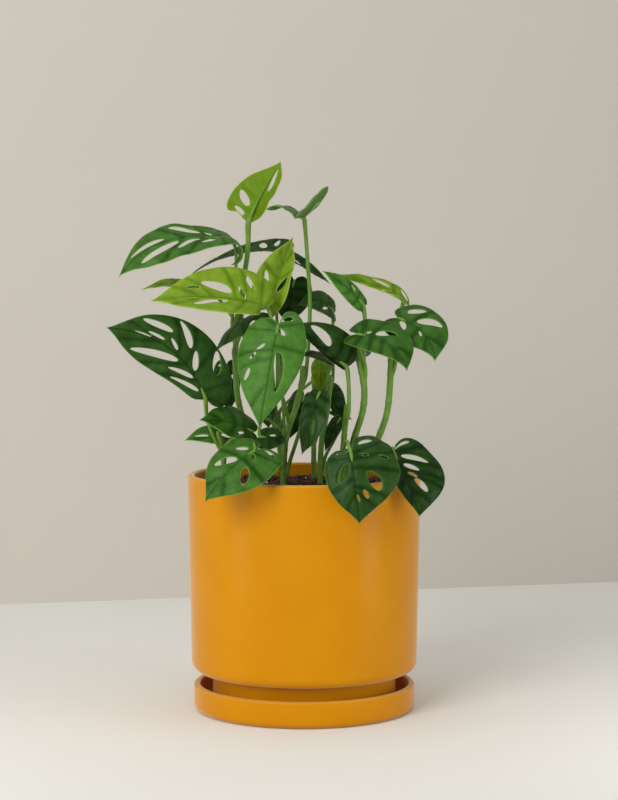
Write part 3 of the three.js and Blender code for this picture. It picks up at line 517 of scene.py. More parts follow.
LEAVES = {
    "leaf_01": dict(
        stalk=2.4, start=(1, 318, 60), via=[(-53, 8, 372), (-49, 6, 400)], base=(-48, 6, 424.7),
        tip=(-20, 0, 477), face=(0.25, 0.95, 0), half=(17, 27), lobe=(-0.1, -0.06),
        skew=(0.6, 1.3), bow=(0.02, -0.02), sway=(0.04, 0.02), fold=(-4, 8), curl=(-70, 6),
        left=[(0.66, 0.86, 0.25, 0.75)],
        right=[(0.35, 0.43, 0.24, 0.64), (0.47, 0.57, 0.2, 0.76)]),
    "leaf_02": dict(
        stalk=1.9, start=(2, 282, 60), via=[(5, 4, 352), (3, 3, 390)], base=(0, 0, 429),
        tip=(-8, -62, 427.5), face=(0, 0, 1), half=(34, 33), lobe=(0.14, 0.14), bow=(0.02, 0.02),
        fold=(46, 50), curl=(4, -80), droop=8, left=[(0.22, 0.32, 0.35, 0.75)],
        right=[(0.36, 0.46, 0.3, 0.75)]),
    "leaf_03": dict(
        start=(1, 322, 200), via=[(-60, 2, 372), (-60, -4, 404)], base=(-66, -8, 411.5),
        tip=(-157.5, -40, 378), face=(-0.1, -0.2, 0.95), half=(25, 23), lobe=(0.3, 0.08),
        skew=(0.6, 1), bow=(0.15, 0.24), fold=(0, 12), curl=(-20, -10), droop=80, twist=-34,
        left=[(0.37, 0.44, 0.18, 0.52), (0.47, 0.57, 0.22, 0.56), (0.6, 0.75, 0.2, 0.85)],
        right=[(0.4, 0.44, 0.05, 0.28), (0.46, 0.58, 0.24, 0.8), (0.69, 0.83, 0.15, 0.8)]),
    "leaf_04": dict(
        start=(9, 276, 80), via=[(-24, 70, 340), (-14, 60, 384)], base=(-12.5, 44, 400),
        tip=(-103.7, 40, 376), face=(-0.2, 0, 0.97), half=(8, 16), lobe=(0.04, 0.03), skew=(1, 2),
        bow=(0.12, 0.15), fold=(-14, 36), curl=(-10, 8), twist=18,
        right=[(0.42, 0.47, 0.3, 0.85), (0.49, 0.56, 0.12, 0.65)]),
    "leaf_05": dict(
        start=(9, 262, 200), via=[(-60, 40, 335), (-80, 24, 362)], base=(-88, 18, 366),
        tip=(-141.5, 5, 366), face=(0, -0.25, 0.96), half=(15, 15), bow=(0.07, 0.12), fold=(8, 8),
        curl=(0, 0), right=[(0.45, 0.54, 0.3, 0.75)]),
    "leaf_06": dict(
        start=(9, 262, -20), via=[(-24, 32, 335), (-25, 28, 386)], base=(-17.5, 24, 398.7),
        tip=(23, 20, 371), face=(0.25, -0.6, 0.75), half=(5.5, 8), bow=(0.08, 0.04), fold=(6, 6),
        curl=(0, 0), right=[(0.45, 0.55, 0.25, 0.75)]),
    "leaf_07": dict(
        stalk=1.9, start=(6, 284, 60), via=[(53, -3, 335)], base=(51, -8, 353.8),
        tip=(15.5, -22, 383), face=(0.35, -0.85, 0.45), half=(9, 11), bow=(0.1, 0.12),
        fold=(-6, -6), curl=(-20, -20), right=[(0.5, 0.56, 0.3, 0.6)]),
    "leaf_08": dict(
        stalk=1.8, start=(7, 302, 60), via=[(80, 26, 334), (85, 24, 346)], base=(87, 20, 357),
        tip=(26, 0, 380), face=(0.3, -0.55, 0.75), half=(5, 12), lobe=(0.1, 0.3), bow=(0.14, 0),
        fold=(4, 8), curl=(-20, -10), droop=30, left=[(0.38, 0.54, 0.2, 0.8)],
        right=[(0.26, 0.38, 0.3, 0.8), (0.48, 0.6, 0.25, 0.75)]),
    "leaf_09": dict(
        start=(2, 236, 250), via=[(-20, -44, 285), (-24, -46, 325)], base=(-31.7, -28, 352.4),
        tip=(-129, -62, 358), face=(0, -0.7, 0.7), half=(25, 30), lobe=(-0.1, 0.08), skew=(0.7, 1),
        fold=(20, 24), curl=(-10, -6), left=[(0.57, 0.7, 0.15, 0.66), (0.76, 0.85, 0.08, 0.4)],
        right=[(0.4, 0.445, 0.36, 0.8), (0.46, 0.5, 0.06, 0.36), (0.55, 0.67, 0.16, 0.64),
               (0.69, 0.735, 0.45, 0.7)]),
    "leaf_10": dict(
        start=(9, 270, -70), via=[(-30, 30, 325)], base=(-30, 8, 353.5), tip=(-10, 12, 411.7),
        face=(0.1, -0.95, 0.2), half=(20, 22), lobe=(0.12, 0.12), bow=(0.04, -0.04), fold=(10, 56),
        curl=(-10, 10), left=[(0.5, 0.58, 0.35, 0.68)], right=[(0.46, 0.58, 0.12, 0.66)]),
    "leaf_11": dict(
        start=(9, 262, 30), via=[(-10, 60, 330)], base=(-9, 36, 373), tip=(-16, 38, 334),
        face=(0, -1, 0.15), half=(18, 18), lobe=(0.15, 0.15), bow=(0.05, 0.05), fold=(-8, -8),
        right=[(0.45, 0.54, 0.3, 0.7)]),
    "leaf_12": dict(
        start=(4, 276, 60), via=[(25, 14, 325)], base=(24.8, 26, 347.5), tip=(-6.3, 20, 352),
        face=(0, -0.6, 0.75), half=(15, 16), lobe=(0.2, 0.2), bow=(0.32, 0.34), fold=(6, 6),
        left=[(0.45, 0.54, 0.15, 0.6)]),
    "leaf_13": dict(
        start=(2, 214, 280), via=[(-18, -54, 275), (-20, -62, 320)], base=(-21.9, -68, 337.7),
        tip=(-37.2, -91, 252.7), face=(0, -0.97, 0.25), half=(28, 31), lobe=(0.27, 0.1),
        skew=(1.25, 1), bow=(0.1, 0.08), fold=(-10, -14), curl=(-20, -16),
        left=[(0.15, 0.28, 0.22, 0.64), (0.325, 0.385, 0.05, 0.26), (0.52, 0.74, 0.08, 0.6)],
        right=[(0.45, 0.49, 0.22, 0.42), (0.505, 0.54, 0.42, 0.6), (0.585, 0.635, 0.62, 0.86)]),
    "leaf_14": dict(
        start=(1, 300, 250), via=[(-48, -4, 338)], base=(-37, -10, 346), tip=(-76, -26, 313.6),
        face=(-0.4, -0.35, 0.85), half=(18, 20), lobe=(0.12, 0.12), bow=(0.14, 0.12),
        fold=(-8, -8), curl=(-20, -20), left=[(0.45, 0.54, 0.3, 0.7)],
        right=[(0.45, 0.54, 0.3, 0.7)]),
    "leaf_15": dict(
        stalk=1.8, start=(8, 226, 180), via=[(-83, -28, 255)], base=(-84, -42, 274.3),
        tip=(-166.6, -60, 335.5), face=(0.1, -0.95, 0.25), half=(24, 33), lobe=(-0.06, 0.12),
        skew=(0.45, 1), bow=(0.04, 0.04), sway=(0.22, 0.2), fold=(-6, -4), curl=(-12, -16),
        left=[(0.33, 0.4, 0.12, 0.72), (0.43, 0.5, 0.06, 0.5), (0.56, 0.68, 0.1, 0.9)],
        right=[(0.39, 0.455, 0.48, 0.93), (0.47, 0.53, 0.06, 0.42), (0.55, 0.6, 0.36, 0.93),
               (0.62, 0.66, 0.1, 0.34), (0.645, 0.735, 0.5, 0.9), (0.7, 0.77, 0.18, 0.42),
               (0.785, 0.86, 0.08, 0.32)]),
    "leaf_16": dict(
        start=(8, 218, 300), via=[(-60, -38, 240)], base=(-44, -40, 246), tip=(-88.8, -54, 257.1),
        face=(0, -0.6, 0.8), half=(18, 28), lobe=(0.15, 0.15), bow=(0.12, 0.12), curl=(-16, -16),
        left=[(0.45, 0.54, 0.3, 0.7)]),
    "leaf_17": dict(
        start=(2, 226, 110), via=[(-34, -24, 256)], base=(-37, -56, 243), tip=(-14, -60, 238),
        face=(0, -0.6, 0.8), half=(14, 14), lobe=(0.15, 0.15), bow=(0.08, 0.08), curl=(-12, -12),
        left=[(0.54, 0.68, 0.12, 0.42)]),
    "leaf_18": dict(
        start=(8, 206, 100), via=[(-64, 8, 222)], base=(-60, -2, 235), tip=(-103.9, -6, 235.5),
        face=(0, -0.7, 0.7), half=(7, 16), lobe=(0.12, 0.12), skew=(1, 0.8), bow=(0.1, 0.14),
        right=[(0.38, 0.55, 0.1, 0.34), (0.69, 0.82, 0.12, 0.64)]),
    "leaf_19": dict(
        start=(2, 206, 180), via=[(-36, -52, 226), (-42, -84, 240)], base=(-41.3, -97, 234.9),
        tip=(-81.4, -118, 194.5), face=(-0.1, -0.75, 0.65), half=(29, 24), lobe=(0.45, 0.3),
        bow=(0.16, 0.16), curl=(-18, -18),
        left=[(0.17, 0.3, 0.36, 0.68), (0.35, 0.42, 0.07, 0.24), (0.52, 0.63, 0.24, 0.76)],
        right=[(0.33, 0.42, 0.18, 0.5), (0.51, 0.64, 0.08, 0.7)]),
    "leaf_20": dict(
        start=(5, 214, 270), via=[(34, -60, 234), (36, -90, 242)], base=(38.9, -106, 233.2),
        tip=(45.6, -120, 176.5), face=(0, -0.93, 0.36), half=(40, 24), lobe=(0.5, 0.08),
        fold=(-6, -6), curl=(-14, -14),
        left=[(0.18, 0.27, 0.36, 0.72), (0.32, 0.355, 0.18, 0.36), (0.37, 0.4, 0.56, 0.78),
              (0.51, 0.66, 0.24, 0.68), (0.68, 0.735, 0.24, 0.52), (0.745, 0.8, 0.04, 0.22)],
        right=[(0.22, 0.29, 0.26, 0.7), (0.42, 0.58, 0.1, 0.54)]),
    "leaf_21": dict(
        start=(7, 206, 320), via=[(72, -34, 226), (75, -52, 233)], base=(76, -62, 230),
        tip=(97.1, -76, 177.2), face=(0.15, -0.9, 0.4), half=(37, 11), lobe=(0.2, 0.1),
        skew=(0.55, 1), bow=(0.14, 0.1), fold=(4, 0), curl=(-34, -10),
        left=[(0.1, 0.26, 0.34, 0.76), (0.35, 0.44, 0.1, 0.64), (0.46, 0.54, 0.06, 0.34),
              (0.56, 0.605, 0.08, 0.28), (0.62, 0.71, 0.2, 0.64)]),
    "leaf_22": dict(
        start=(6, 286, 330), via=[(47, -22, 318)], base=(46, -34, 329), tip=(87, -62, 298.8),
        face=(-0.1, -0.6, 0.8), half=(27, 15), lobe=(0.22, 0.2), sway=(-0.16, -0.2), fold=(-4, -4),
        curl=(-18, -16), left=[(0.37, 0.43, 0.05, 0.2), (0.48, 0.6, 0.1, 0.6)]),
    "leaf_23": dict(
        start=(7, 290, 330), via=[(80, 4, 328)], base=(82.3, -8, 341.5), tip=(111.7, -38, 306),
        face=(0.1, -0.75, 0.65), half=(28, 22), lobe=(0.2, 0.25), sway=(-0.14, -0.18),
        curl=(-14, -14), left=[(0.33, 0.45, 0.32, 0.76), (0.49, 0.62, 0.14, 0.8)],
        right=[(0.35, 0.48, 0.08, 0.42), (0.62, 0.68, 0.06, 0.26)]),
    "leaf_24": dict(
        stalk=1.9, start=(5, 250, 290), via=[(38, -22, 290)], base=(36.6, -20, 300.3),
        tip=(-12, -24, 338), face=(0.1, -0.95, 0.3), half=(6, 26), lobe=(0.05, 0.06),
        fold=(-40, -6), curl=(-16, -16), right=[(0.58, 0.75, 0.12, 0.84)]),
    "leaf_25": dict(
        start=(4, 262, 230), via=[(20, -12, 290)], base=(23.3, -14, 304.1), tip=(-4, -20, 309.4),
        face=(0, -0.3, 0.95), half=(13, 13), lobe=(0.12, 0.12), bow=(0.2, 0.2),
        right=[(0.45, 0.54, 0.3, 0.7)]),
    "leaf_26": dict(
        start=(3, 262, 60), via=[(12, 24, 306)], base=(14, 16, 303), tip=(13.8, 10, 274),
        face=(0.1, 0.95, 0), half=(8, 8), lobe=(0.08, 0.08), bow=(-0.06, -0.06), curl=(20, 20)),
    "leaf_27": dict(
        stalk=1.8, start=(2, 202, 340), via=[(-8, -24, 232), (2, -40, 262)], base=(13, -52, 280),
        tip=(-2, -60, 227.8), face=(-0.3, -0.9, 0.3), half=(16, 9), lobe=(0.05, 0.05),
        skew=(0.7, 1), bow=(0.12, 0.12), fold=(14, 14), left=[(0.6, 0.68, 0.3, 0.65)]),
    "leaf_28": dict(
        start=(3, 230, 20), via=[(20, 24, 270)], base=(20, 20, 281), tip=(42, 8, 252.4),
        face=(0.2, -0.95, 0.3), half=(12, 12), lobe=(0.12, 0.12), sway=(0.16, 0.2),
        right=[(0.5, 0.66, 0.35, 0.75)]),
    "leaf_29": dict(
        start=(4, 206, 20), via=[(28, -4, 240)], base=(31, -6, 254), tip=(17.9, -12, 226),
        face=(-0.3, -0.85, 0.3), half=(7, 7), bow=(0.12, 0.12), fold=(10, 10)),
    "leaf_30": dict(
        start=(9, 230, 250), via=[(-34, 40, 262)], base=(-33, 20, 268), tip=(-31, 12, 244),
        face=(0, -1, 0.1), half=(8, 10)),
    "leaf_31": dict(
        start=(9, 236, 165), via=[(-52, 46, 280)], base=(-69, 33, 298), tip=(-66, 27, 257),
        face=(0, -1, 0.15), half=(12, 12), lobe=(0.15, 0.15), curl=(-16, -16),
        left=[(0.45, 0.54, 0.3, 0.7)], right=[(0.24, 0.32, 0.3, 0.7), (0.58, 0.68, 0.3, 0.7)]),
    "leaf_32": dict(
        start=(9, 242, 20), via=[(10, 64, 285)], base=(34, 74, 306), tip=(44, 146, 303),
        face=(0, 0, 1), half=(24, 24), lobe=(0.15, 0.15), curl=(-16, -16),
        left=[(0.24, 0.32, 0.3, 0.7)], right=[(0.45, 0.54, 0.3, 0.7)]),
    "leaf_33": dict(
        start=(9, 226, 320), via=[(-16, 42, 256)], base=(0, 40, 271), tip=(-13, 34, 233),
        face=(0.15, -0.95, 0.2), half=(11, 12), lobe=(0.15, 0.15), fold=(-8, -8), curl=(-16, -16)),
    "leaf_34": dict(
        start=(6, 208, 90), via=[(42, 50, 222), (48, 84, 224)], base=(52, 96, 217),
        tip=(62, 124, 166), face=(0.2, 0.85, 0.45), half=(26, 26), lobe=(0.2, 0.2),
        bow=(0.14, 0.12), fold=(-6, -6), curl=(-14, -14), left=[(0.24, 0.32, 0.3, 0.7)],
        right=[(0.45, 0.54, 0.3, 0.7)]),
}
LEAVES = {name: {**USUAL_LEAF, **row} for name, row in LEAVES.items()}
print("stems:", len(STEMS), "leaves:", len(LEAVES))

# %% [markdown]
# ## Stems
# Nine aerial stems stand in the soil, some 5 mm thick. Where a leaf joins there is a node: the stem
# swells a little and a scar runs round it. Between the nodes a stem is never quite even, so a slow
# noise changes its radius by a few hundredths.

# %% Make the stems
STEM_FOOT = 166      # height of a stem's lower end, inside the soil
SHEATH = 14          # a stalk lies along its stem for this length
FIRST_NODE, NODE_STEP = 214, 27     # bare nodes, where a leaf has dropped
STEM_SIDES = 20


def stem_line(number):
    """A stem's centre line with its straight foot in the soil."""
    line = STEMS[number - 1][1]
    x, y, z = line[0]
    return [(x, y, STEM_FOOT), (x, y, (STEM_FOOT + z) / 2), *line]


stem_lines = [smooth_line(stem_line(k + 1), 160) for k in range(len(STEMS))]
for number, (radius, _) in enumerate(STEMS, 1):
    line = stem_lines[number - 1]
    nodes = [row["start"][1] + 2 for row in LEAVES.values() if row["start"][0] == number]
    nodes += range(FIRST_NODE, int(line[-1][2]) - 4, NODE_STEP)
    near = np.min([np.abs(line[:, 2] - height) for height in nodes], axis=0)
    uneven = [0.03 * noise.noise(Vector((0, number * 7.3, z / 14))) for z in line[:, 2]]
    # the upper end rounds off over its last 2 mm
    ends = np.clip((line[-1][2] - line[:, 2] + 1.2) / 3, 0.35, 1) ** 0.5
    radii = radius * ends * (1 + 0.11 * np.exp(-(near / 1.6) ** 2) + np.array(uneven))
    points, faces, run = rod(line, radii, STEM_SIDES)
    scars = 0.35 * np.exp(-((near - 0.4) / 0.8) ** 2)
    stem = make_piece(f"stem_{number:02d}_skin", points, faces, [stem_finish],
                      {"run": run, "ring": np.repeat(scars, STEM_SIDES)})
    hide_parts(f"stem_{number:02d}")
print("points on the last stem:", len(points))

# %% [markdown]
# ## A leaf blade, drawn flat and then bent
# A blade is a thin curved sheet with holes between its side veins. It is easiest to draw flat: x is
# across in half widths and y is along the midrib. Two functions then carry the drawing into space:
# the midrib is a Bezier curve, and each side folds up or down from it and curls. The same steps
# shape the solids, so a finer sheet lies exactly where the solid does.

# %% The blade's drawing and its bend
def spline(points, t):
    """A uniform Catmull-Rom curve through the points, for t from 0 to 1."""
    p = np.array(points, float)
    place = (len(p) - 1) * np.asarray(t, float)
    i = np.minimum(place.astype(int), len(p) - 2)
    a, b, c, d = p[np.maximum(i - 1, 0)], p[i], p[i + 1], p[np.minimum(i + 2, len(p) - 1)]
    return between(b, c, (c - a) / 2, (d - b) / 2, (place - i)[:, None])


def unit(vectors):
    """The same vectors, each made 1 long."""
    return vectors / np.linalg.norm(vectors, axis=-1, keepdims=True)


def turn_about(vectors, axes, angles):
    """Turns each vector about its unit axis."""
    c, s = np.cos(angles)[:, None], np.sin(angles)[:, None]
    lined = np.sum(axes * vectors, 1)[:, None]
    return vectors * c + np.cross(axes, vectors) * s + axes * lined * (1 - c)


def edge_points(lobe, skew):
    """One side's outline from the notch to the drip tip, x in half widths and y in lengths."""
    return [
        (0, 0), (0.16, -(0.7 if lobe > 0 else 0.05) * lobe), (0.5, -lobe),
        (0.86, 0.05 ** skew - 0.35 * lobe), (1, 0.22 ** skew), (0.93, 0.45 ** skew),
        (0.65, 0.68 ** skew), (0.26, 0.86 ** skew), (0.07, 0.95 ** skew), (0, 1)]


class Blade:
    """A leaf's blade: its flat drawing, and the bend that carries the drawing into space."""

    def __init__(self, row):
        self.row = row
        base, tip = np.array(row["base"], float), np.array(row["tip"], float)
        chord = tip - base
        span = np.linalg.norm(chord)
        along = chord / span
        face = np.array(row["face"], float)
        self.face = unit(face - along * face.dot(along))
        right = np.cross(along, self.face)
        handles = [
            base + chord * (k + 1) / 3 + self.face * row["bow"][k] * span + right * row["sway"][k] * span
            for k in (0, 1)]
        self.midrib = np.array([base, *handles, tip])
        dense = self.at(np.linspace(0, 1, 200))[0]
        self.length = np.sum(np.linalg.norm(np.diff(dense, axis=0), axis=1))

    def at(self, u):
        """Point and unit direction of the midrib at u, from 0 at the base to 1 at the tip."""
        u = np.asarray(u, float)[:, None]
        a, b, c, d = self.midrib
        point = a * (1 - u) ** 3 + 3 * b * u * (1 - u) ** 2 + 3 * c * u * u * (1 - u) + d * u ** 3
        way = 3 * (b - a) * (1 - u) ** 2 + 6 * (c - b) * u * (1 - u) + 3 * (d - c) * u * u
        return point, unit(way)

    def flat(self, side, v, r):
        """Flat points at v along a side's edge and r out along the side vein there."""
        v, r = np.broadcast_arrays(np.asarray(v, float), np.asarray(r, float))
        k = 0 if side < 0 else 1
        edge = spline(edge_points(self.row["lobe"][k], self.row["skew"][k]), v)
        x, y = edge[:, 0] * self.row["half"][k], edge[:, 1] * self.length
        # the veins of a lobe start at the stalk, and the others further and further up the midrib
        start = np.where(v < 0.28, 0, 0.97 * self.length * (np.maximum(v - 0.28, 0) / 0.72) ** 1.15)
        a, b = 2 * r * (1 - r), r * r
        return np.stack([side * (a * 0.6 * x + b * x),
                         (1 - r) ** 2 * start + a * (start + 0.35 * (y - start)) + b * y], 1)

    def frames(self, y):
        """Midrib point, direction, normal and right-hand direction for each flat y."""
        u = np.clip(y / self.length, 0, 1)
        point, tangent = self.at(u)
        normal = unit(self.face - tangent * (tangent @ self.face)[:, None])
        normal = turn_about(normal, tangent, u * math.radians(self.row["twist"]))
        # behind the stalk the lobes bend down by the droop in each 0.15 of the blade's length
        rate = math.radians(self.row["droop"]) / (0.15 * self.length)
        back = np.maximum(-y, 1e-9)[:, None]
        turn = rate * back
        behind = (y < 0)[:, None]
        fallen = point - tangent * back * np.sin(turn) / turn - normal * back * (1 - np.cos(turn)) / turn
        lean = normal * np.cos(turn) - tangent * np.sin(turn)
        bowed = tangent * np.cos(turn) + normal * np.sin(turn)
        point, normal = np.where(behind, fallen, point), np.where(behind, lean, normal)
        tangent = np.where(behind, bowed, tangent)
        return point, tangent, normal, np.cross(tangent, normal)

    def bend(self, flat, sides):
        """Carries flat points into space. sides is -1 or 1 for each point."""
        point, _, normal, across = self.frames(flat[:, 1])
        k = (sides > 0).astype(int)
        fold = np.radians(np.array(self.row["fold"], float))[k]
        curl = np.array([c or 0.01 for c in self.row["curl"]], float)
        rate = np.radians(curl)[k] / np.array(self.row["half"], float)[k]
        far = np.abs(flat[:, 0])
        out = (np.sin(fold + rate * far) - np.sin(fold)) / rate
        lift = (np.cos(fold) - np.cos(fold + rate * far)) / rate
        return point + across * (sides * out)[:, None] + normal * lift[:, None]

    def normals(self, flat, sides):
        """The bent points and the blade's upward direction at each."""
        step = 0.05
        here = self.bend(flat, sides)
        outward = self.bend(flat + np.stack([sides * step, 0 * sides], 1), sides) - here
        forward = self.bend(flat + [0, step], sides) - here
        normal = unit(np.cross(outward * sides[:, None], forward))
        on_midrib = np.abs(flat[:, 0]) < 1e-6
        normal[on_midrib] = self.frames(flat[on_midrib, 1])[2]
        return here, normal


first = Blade(LEAVES["leaf_09"])
print("leaf_09 is", round(first.length, 1), "mm long")

# %% [markdown]
# ## A fine mesh for the blade
# The drawing becomes triangles with a constrained Delaunay triangulation: outline, hole edges, the
# midrib and the side veins go in as points, an even grid of points fills the rest, and no triangle
# crosses the outline or a hole. Since points lie on every vein, the distance to the nearest vein
# can be stored on the mesh, and it drives the grooves and the colour with sharp lines.

# %% Veins, holes and the flat mesh
SPACING = 1.15     # distance between mesh points
VEIN_ROOM, FILL_ROOM = 0.45 * SPACING, 0.6 * SPACING     # least distance of points from lines
SLANT = 0.7      # how far a hole leans along its side veins


def vein_places(length, holes):
    """Places along the edge of the side veins: none through a hole, one between any two holes."""
    usual = [0.2, 0.34, 0.47, 0.6, 0.75] if length > 55 else [0.24, 0.42, 0.58, 0.76]
    places = [v for v in usual if all(v < a - 0.012 or v > b + 0.012 for a, b, *_ in holes)]
    reached = 0
    for low, high, *_ in sorted(holes):
        if 0 < reached < low and not any(reached < v < low for v in places):
            places.append((reached + low) / 2)
        reached = max(reached, high)
    return sorted(places)


def hole_loop(blade, side, hole):
    """The edge of a hole: an oval that leans along the side veins and narrows outward."""
    low, high, near, far = hole
    angle = np.linspace(0, 2 * math.pi, 73)
    reach = -np.cos(angle)
    width = math.sqrt(1 - SLANT ** 2) * np.sin(angle) * (1 - 0.3 * reach)
    v = (low + high) / 2 + (high - low) / 2 * (width + SLANT * reach)
    r = (near + far) / 2 + (far - near) / 2 * reach
    loop = blade.flat(side, v, r)
    around = np.sum(np.linalg.norm(np.diff(loop, axis=0), axis=1))
    return even(loop, max(13, int(around / min(SPACING, 1.2))))[:-1]


def inside(points, loop):
    """Which points lie inside a closed loop."""
    a, b = loop, np.roll(loop, -1, axis=0)
    x, y = points[:, :1], points[:, 1:]
    spans = (a[:, 1] > y) != (b[:, 1] > y)
    rise = np.where(b[:, 1] == a[:, 1], 1e-12, b[:, 1] - a[:, 1])
    crosses = spans & (x < (b[:, 0] - a[:, 0]) * (y - a[:, 1]) / rise + a[:, 0])
    return crosses.sum(1) % 2 == 1


def distance(points, starts, ends):
    """Distance from each point to the nearest of the segments."""
    least = np.full(len(points), 1e6)
    for a, b in zip(starts, ends):
        way = b - a
        share = np.clip((points - a) @ way / max(way @ way, 1e-12), 0, 1)
        least = np.minimum(least, np.linalg.norm(points - a - share[:, None] * way, axis=1))
    return least


def nearest(points, lines):
    """Distance from each point to the nearest of the lines."""
    return np.min([distance(points, line[:-1], line[1:]) for line in lines], axis=0)


def side_lines(blade):
    """Flat lines of the side veins, and of the fainter ribs between them."""
    veins, ribs = [], []
    for side, key in ((-1, "left"), (1, "right")):
        places = vein_places(blade.length, blade.row[key])
        for v in places:
            veins.append(even(blade.flat(side, np.full(40, v), np.linspace(0, 0.97, 40)), 24))
        bounds = [0.06, *places, 0.93]
        for a, b in zip(bounds, bounds[1:]):
            # a wide gap between two veins has two ribs and a narrow one has one
            for share in (0.33, 0.67) if b - a > 0.09 else (0.5,):
                v = a + share * (b - a)
                ribs.append(even(blade.flat(side, np.full(40, v), np.linspace(0, 0.96, 40)), 20))
    return veins, ribs


def loose_grid(outline, rng):
    """A grid over the outline's box, every other row half a step on, each point moved a little."""
    low, high = outline.min(0), outline.max(0)
    rows = []
    for k, y in enumerate(np.arange(low[1], high[1], SPACING * 0.87)):
        across = np.arange(low[0] + (k % 2) * SPACING / 2, high[0], SPACING)
        rows.append(np.stack([across, np.full(len(across), y)], 1))
    grid = np.vstack(rows)
    return grid + rng.uniform(-0.12, 0.12, grid.shape) * SPACING


def flat_mesh(blade, seed):
    """Flat points and triangles of a blade, with the distances that its finish needs."""
    edge = {}
    for side in (-1, 1):
        line = blade.flat(side, np.linspace(0, 1, 240), 1)
        around = np.sum(np.linalg.norm(np.diff(line, axis=0), axis=1))
        edge[side] = even(line, max(12, int(around / SPACING)))
    outline = np.vstack([edge[1], edge[-1][-2:0:-1]])
    loops = [hole_loop(blade, side, hole)
             for side, key in ((-1, "left"), (1, "right")) for hole in blade.row[key]]
    midrib = np.stack([np.zeros(80), np.linspace(0, blade.length, 80)], 1)
    midrib = even(midrib, max(8, int(blade.length / SPACING)))
    veins, ribs = side_lines(blade)
    rings = [outline, *loops]
    borders = [np.vstack([ring, ring[:1]]) for ring in rings]

    def in_tissue(spots):
        """Which spots lie inside the outline and in no hole."""
        in_hole = np.zeros(len(spots), bool)
        for loop in loops:
            in_hole |= inside(spots, loop)
        return inside(spots, outline) & ~in_hole

    fill = loose_grid(outline, np.random.default_rng(seed))
    on_veins = np.vstack([
        even(line, max(3, int(np.linalg.norm(line[-1] - line[0]) / SPACING)))[1:] for line in veins])
    on_veins = on_veins[in_tissue(on_veins) & (nearest(on_veins, borders + [midrib]) > VEIN_ROOM)]
    fill = fill[in_tissue(fill)]
    fill = fill[nearest(fill, borders + [midrib]) > FILL_ROOM]
    if len(on_veins):
        apart = np.linalg.norm(fill[:, None, :] - on_veins[None], axis=2).min(1)
        fill = fill[apart > FILL_ROOM]
    points = np.vstack([*rings, midrib[1:-1], on_veins, fill])
    edges, start = [], 0
    for ring in rings:
        edges += [(start + i, start + (i + 1) % len(ring)) for i in range(len(ring))]
        start += len(ring)
    middle = [0, *range(start, start + len(midrib) - 2), len(edge[1]) - 1]
    edges += list(zip(middle, middle[1:]))
    made = delaunay_2d_cdt([Vector(p) for p in points.tolist()], edges, [], 0, 1e-5)
    points = np.array([tuple(p) for p in made[0]])
    triangles = np.array(made[2])
    triangles = triangles[in_tissue(points[triangles].mean(1))]
    kept, triangles = np.unique(triangles, return_inverse=True)
    points, triangles = points[kept], triangles.reshape(-1, 3)
    a, b, c = (points[triangles[:, k]] for k in range(3))
    turned_over = (b - a)[:, 0] * (c - a)[:, 1] - (b - a)[:, 1] * (c - a)[:, 0] < 0
    triangles[turned_over] = triangles[turned_over][:, ::-1]
    numbers = {
        "vein_mm": nearest(points, veins), "rib_mm": nearest(points, ribs),
        "midrib_mm": nearest(points, [midrib]), "rim_mm": nearest(points, borders)}
    return points, triangles, numbers


_, flat_faces, _ = flat_mesh(first, 9)
print("leaf_09 has", len(flat_faces), "triangles on each side")
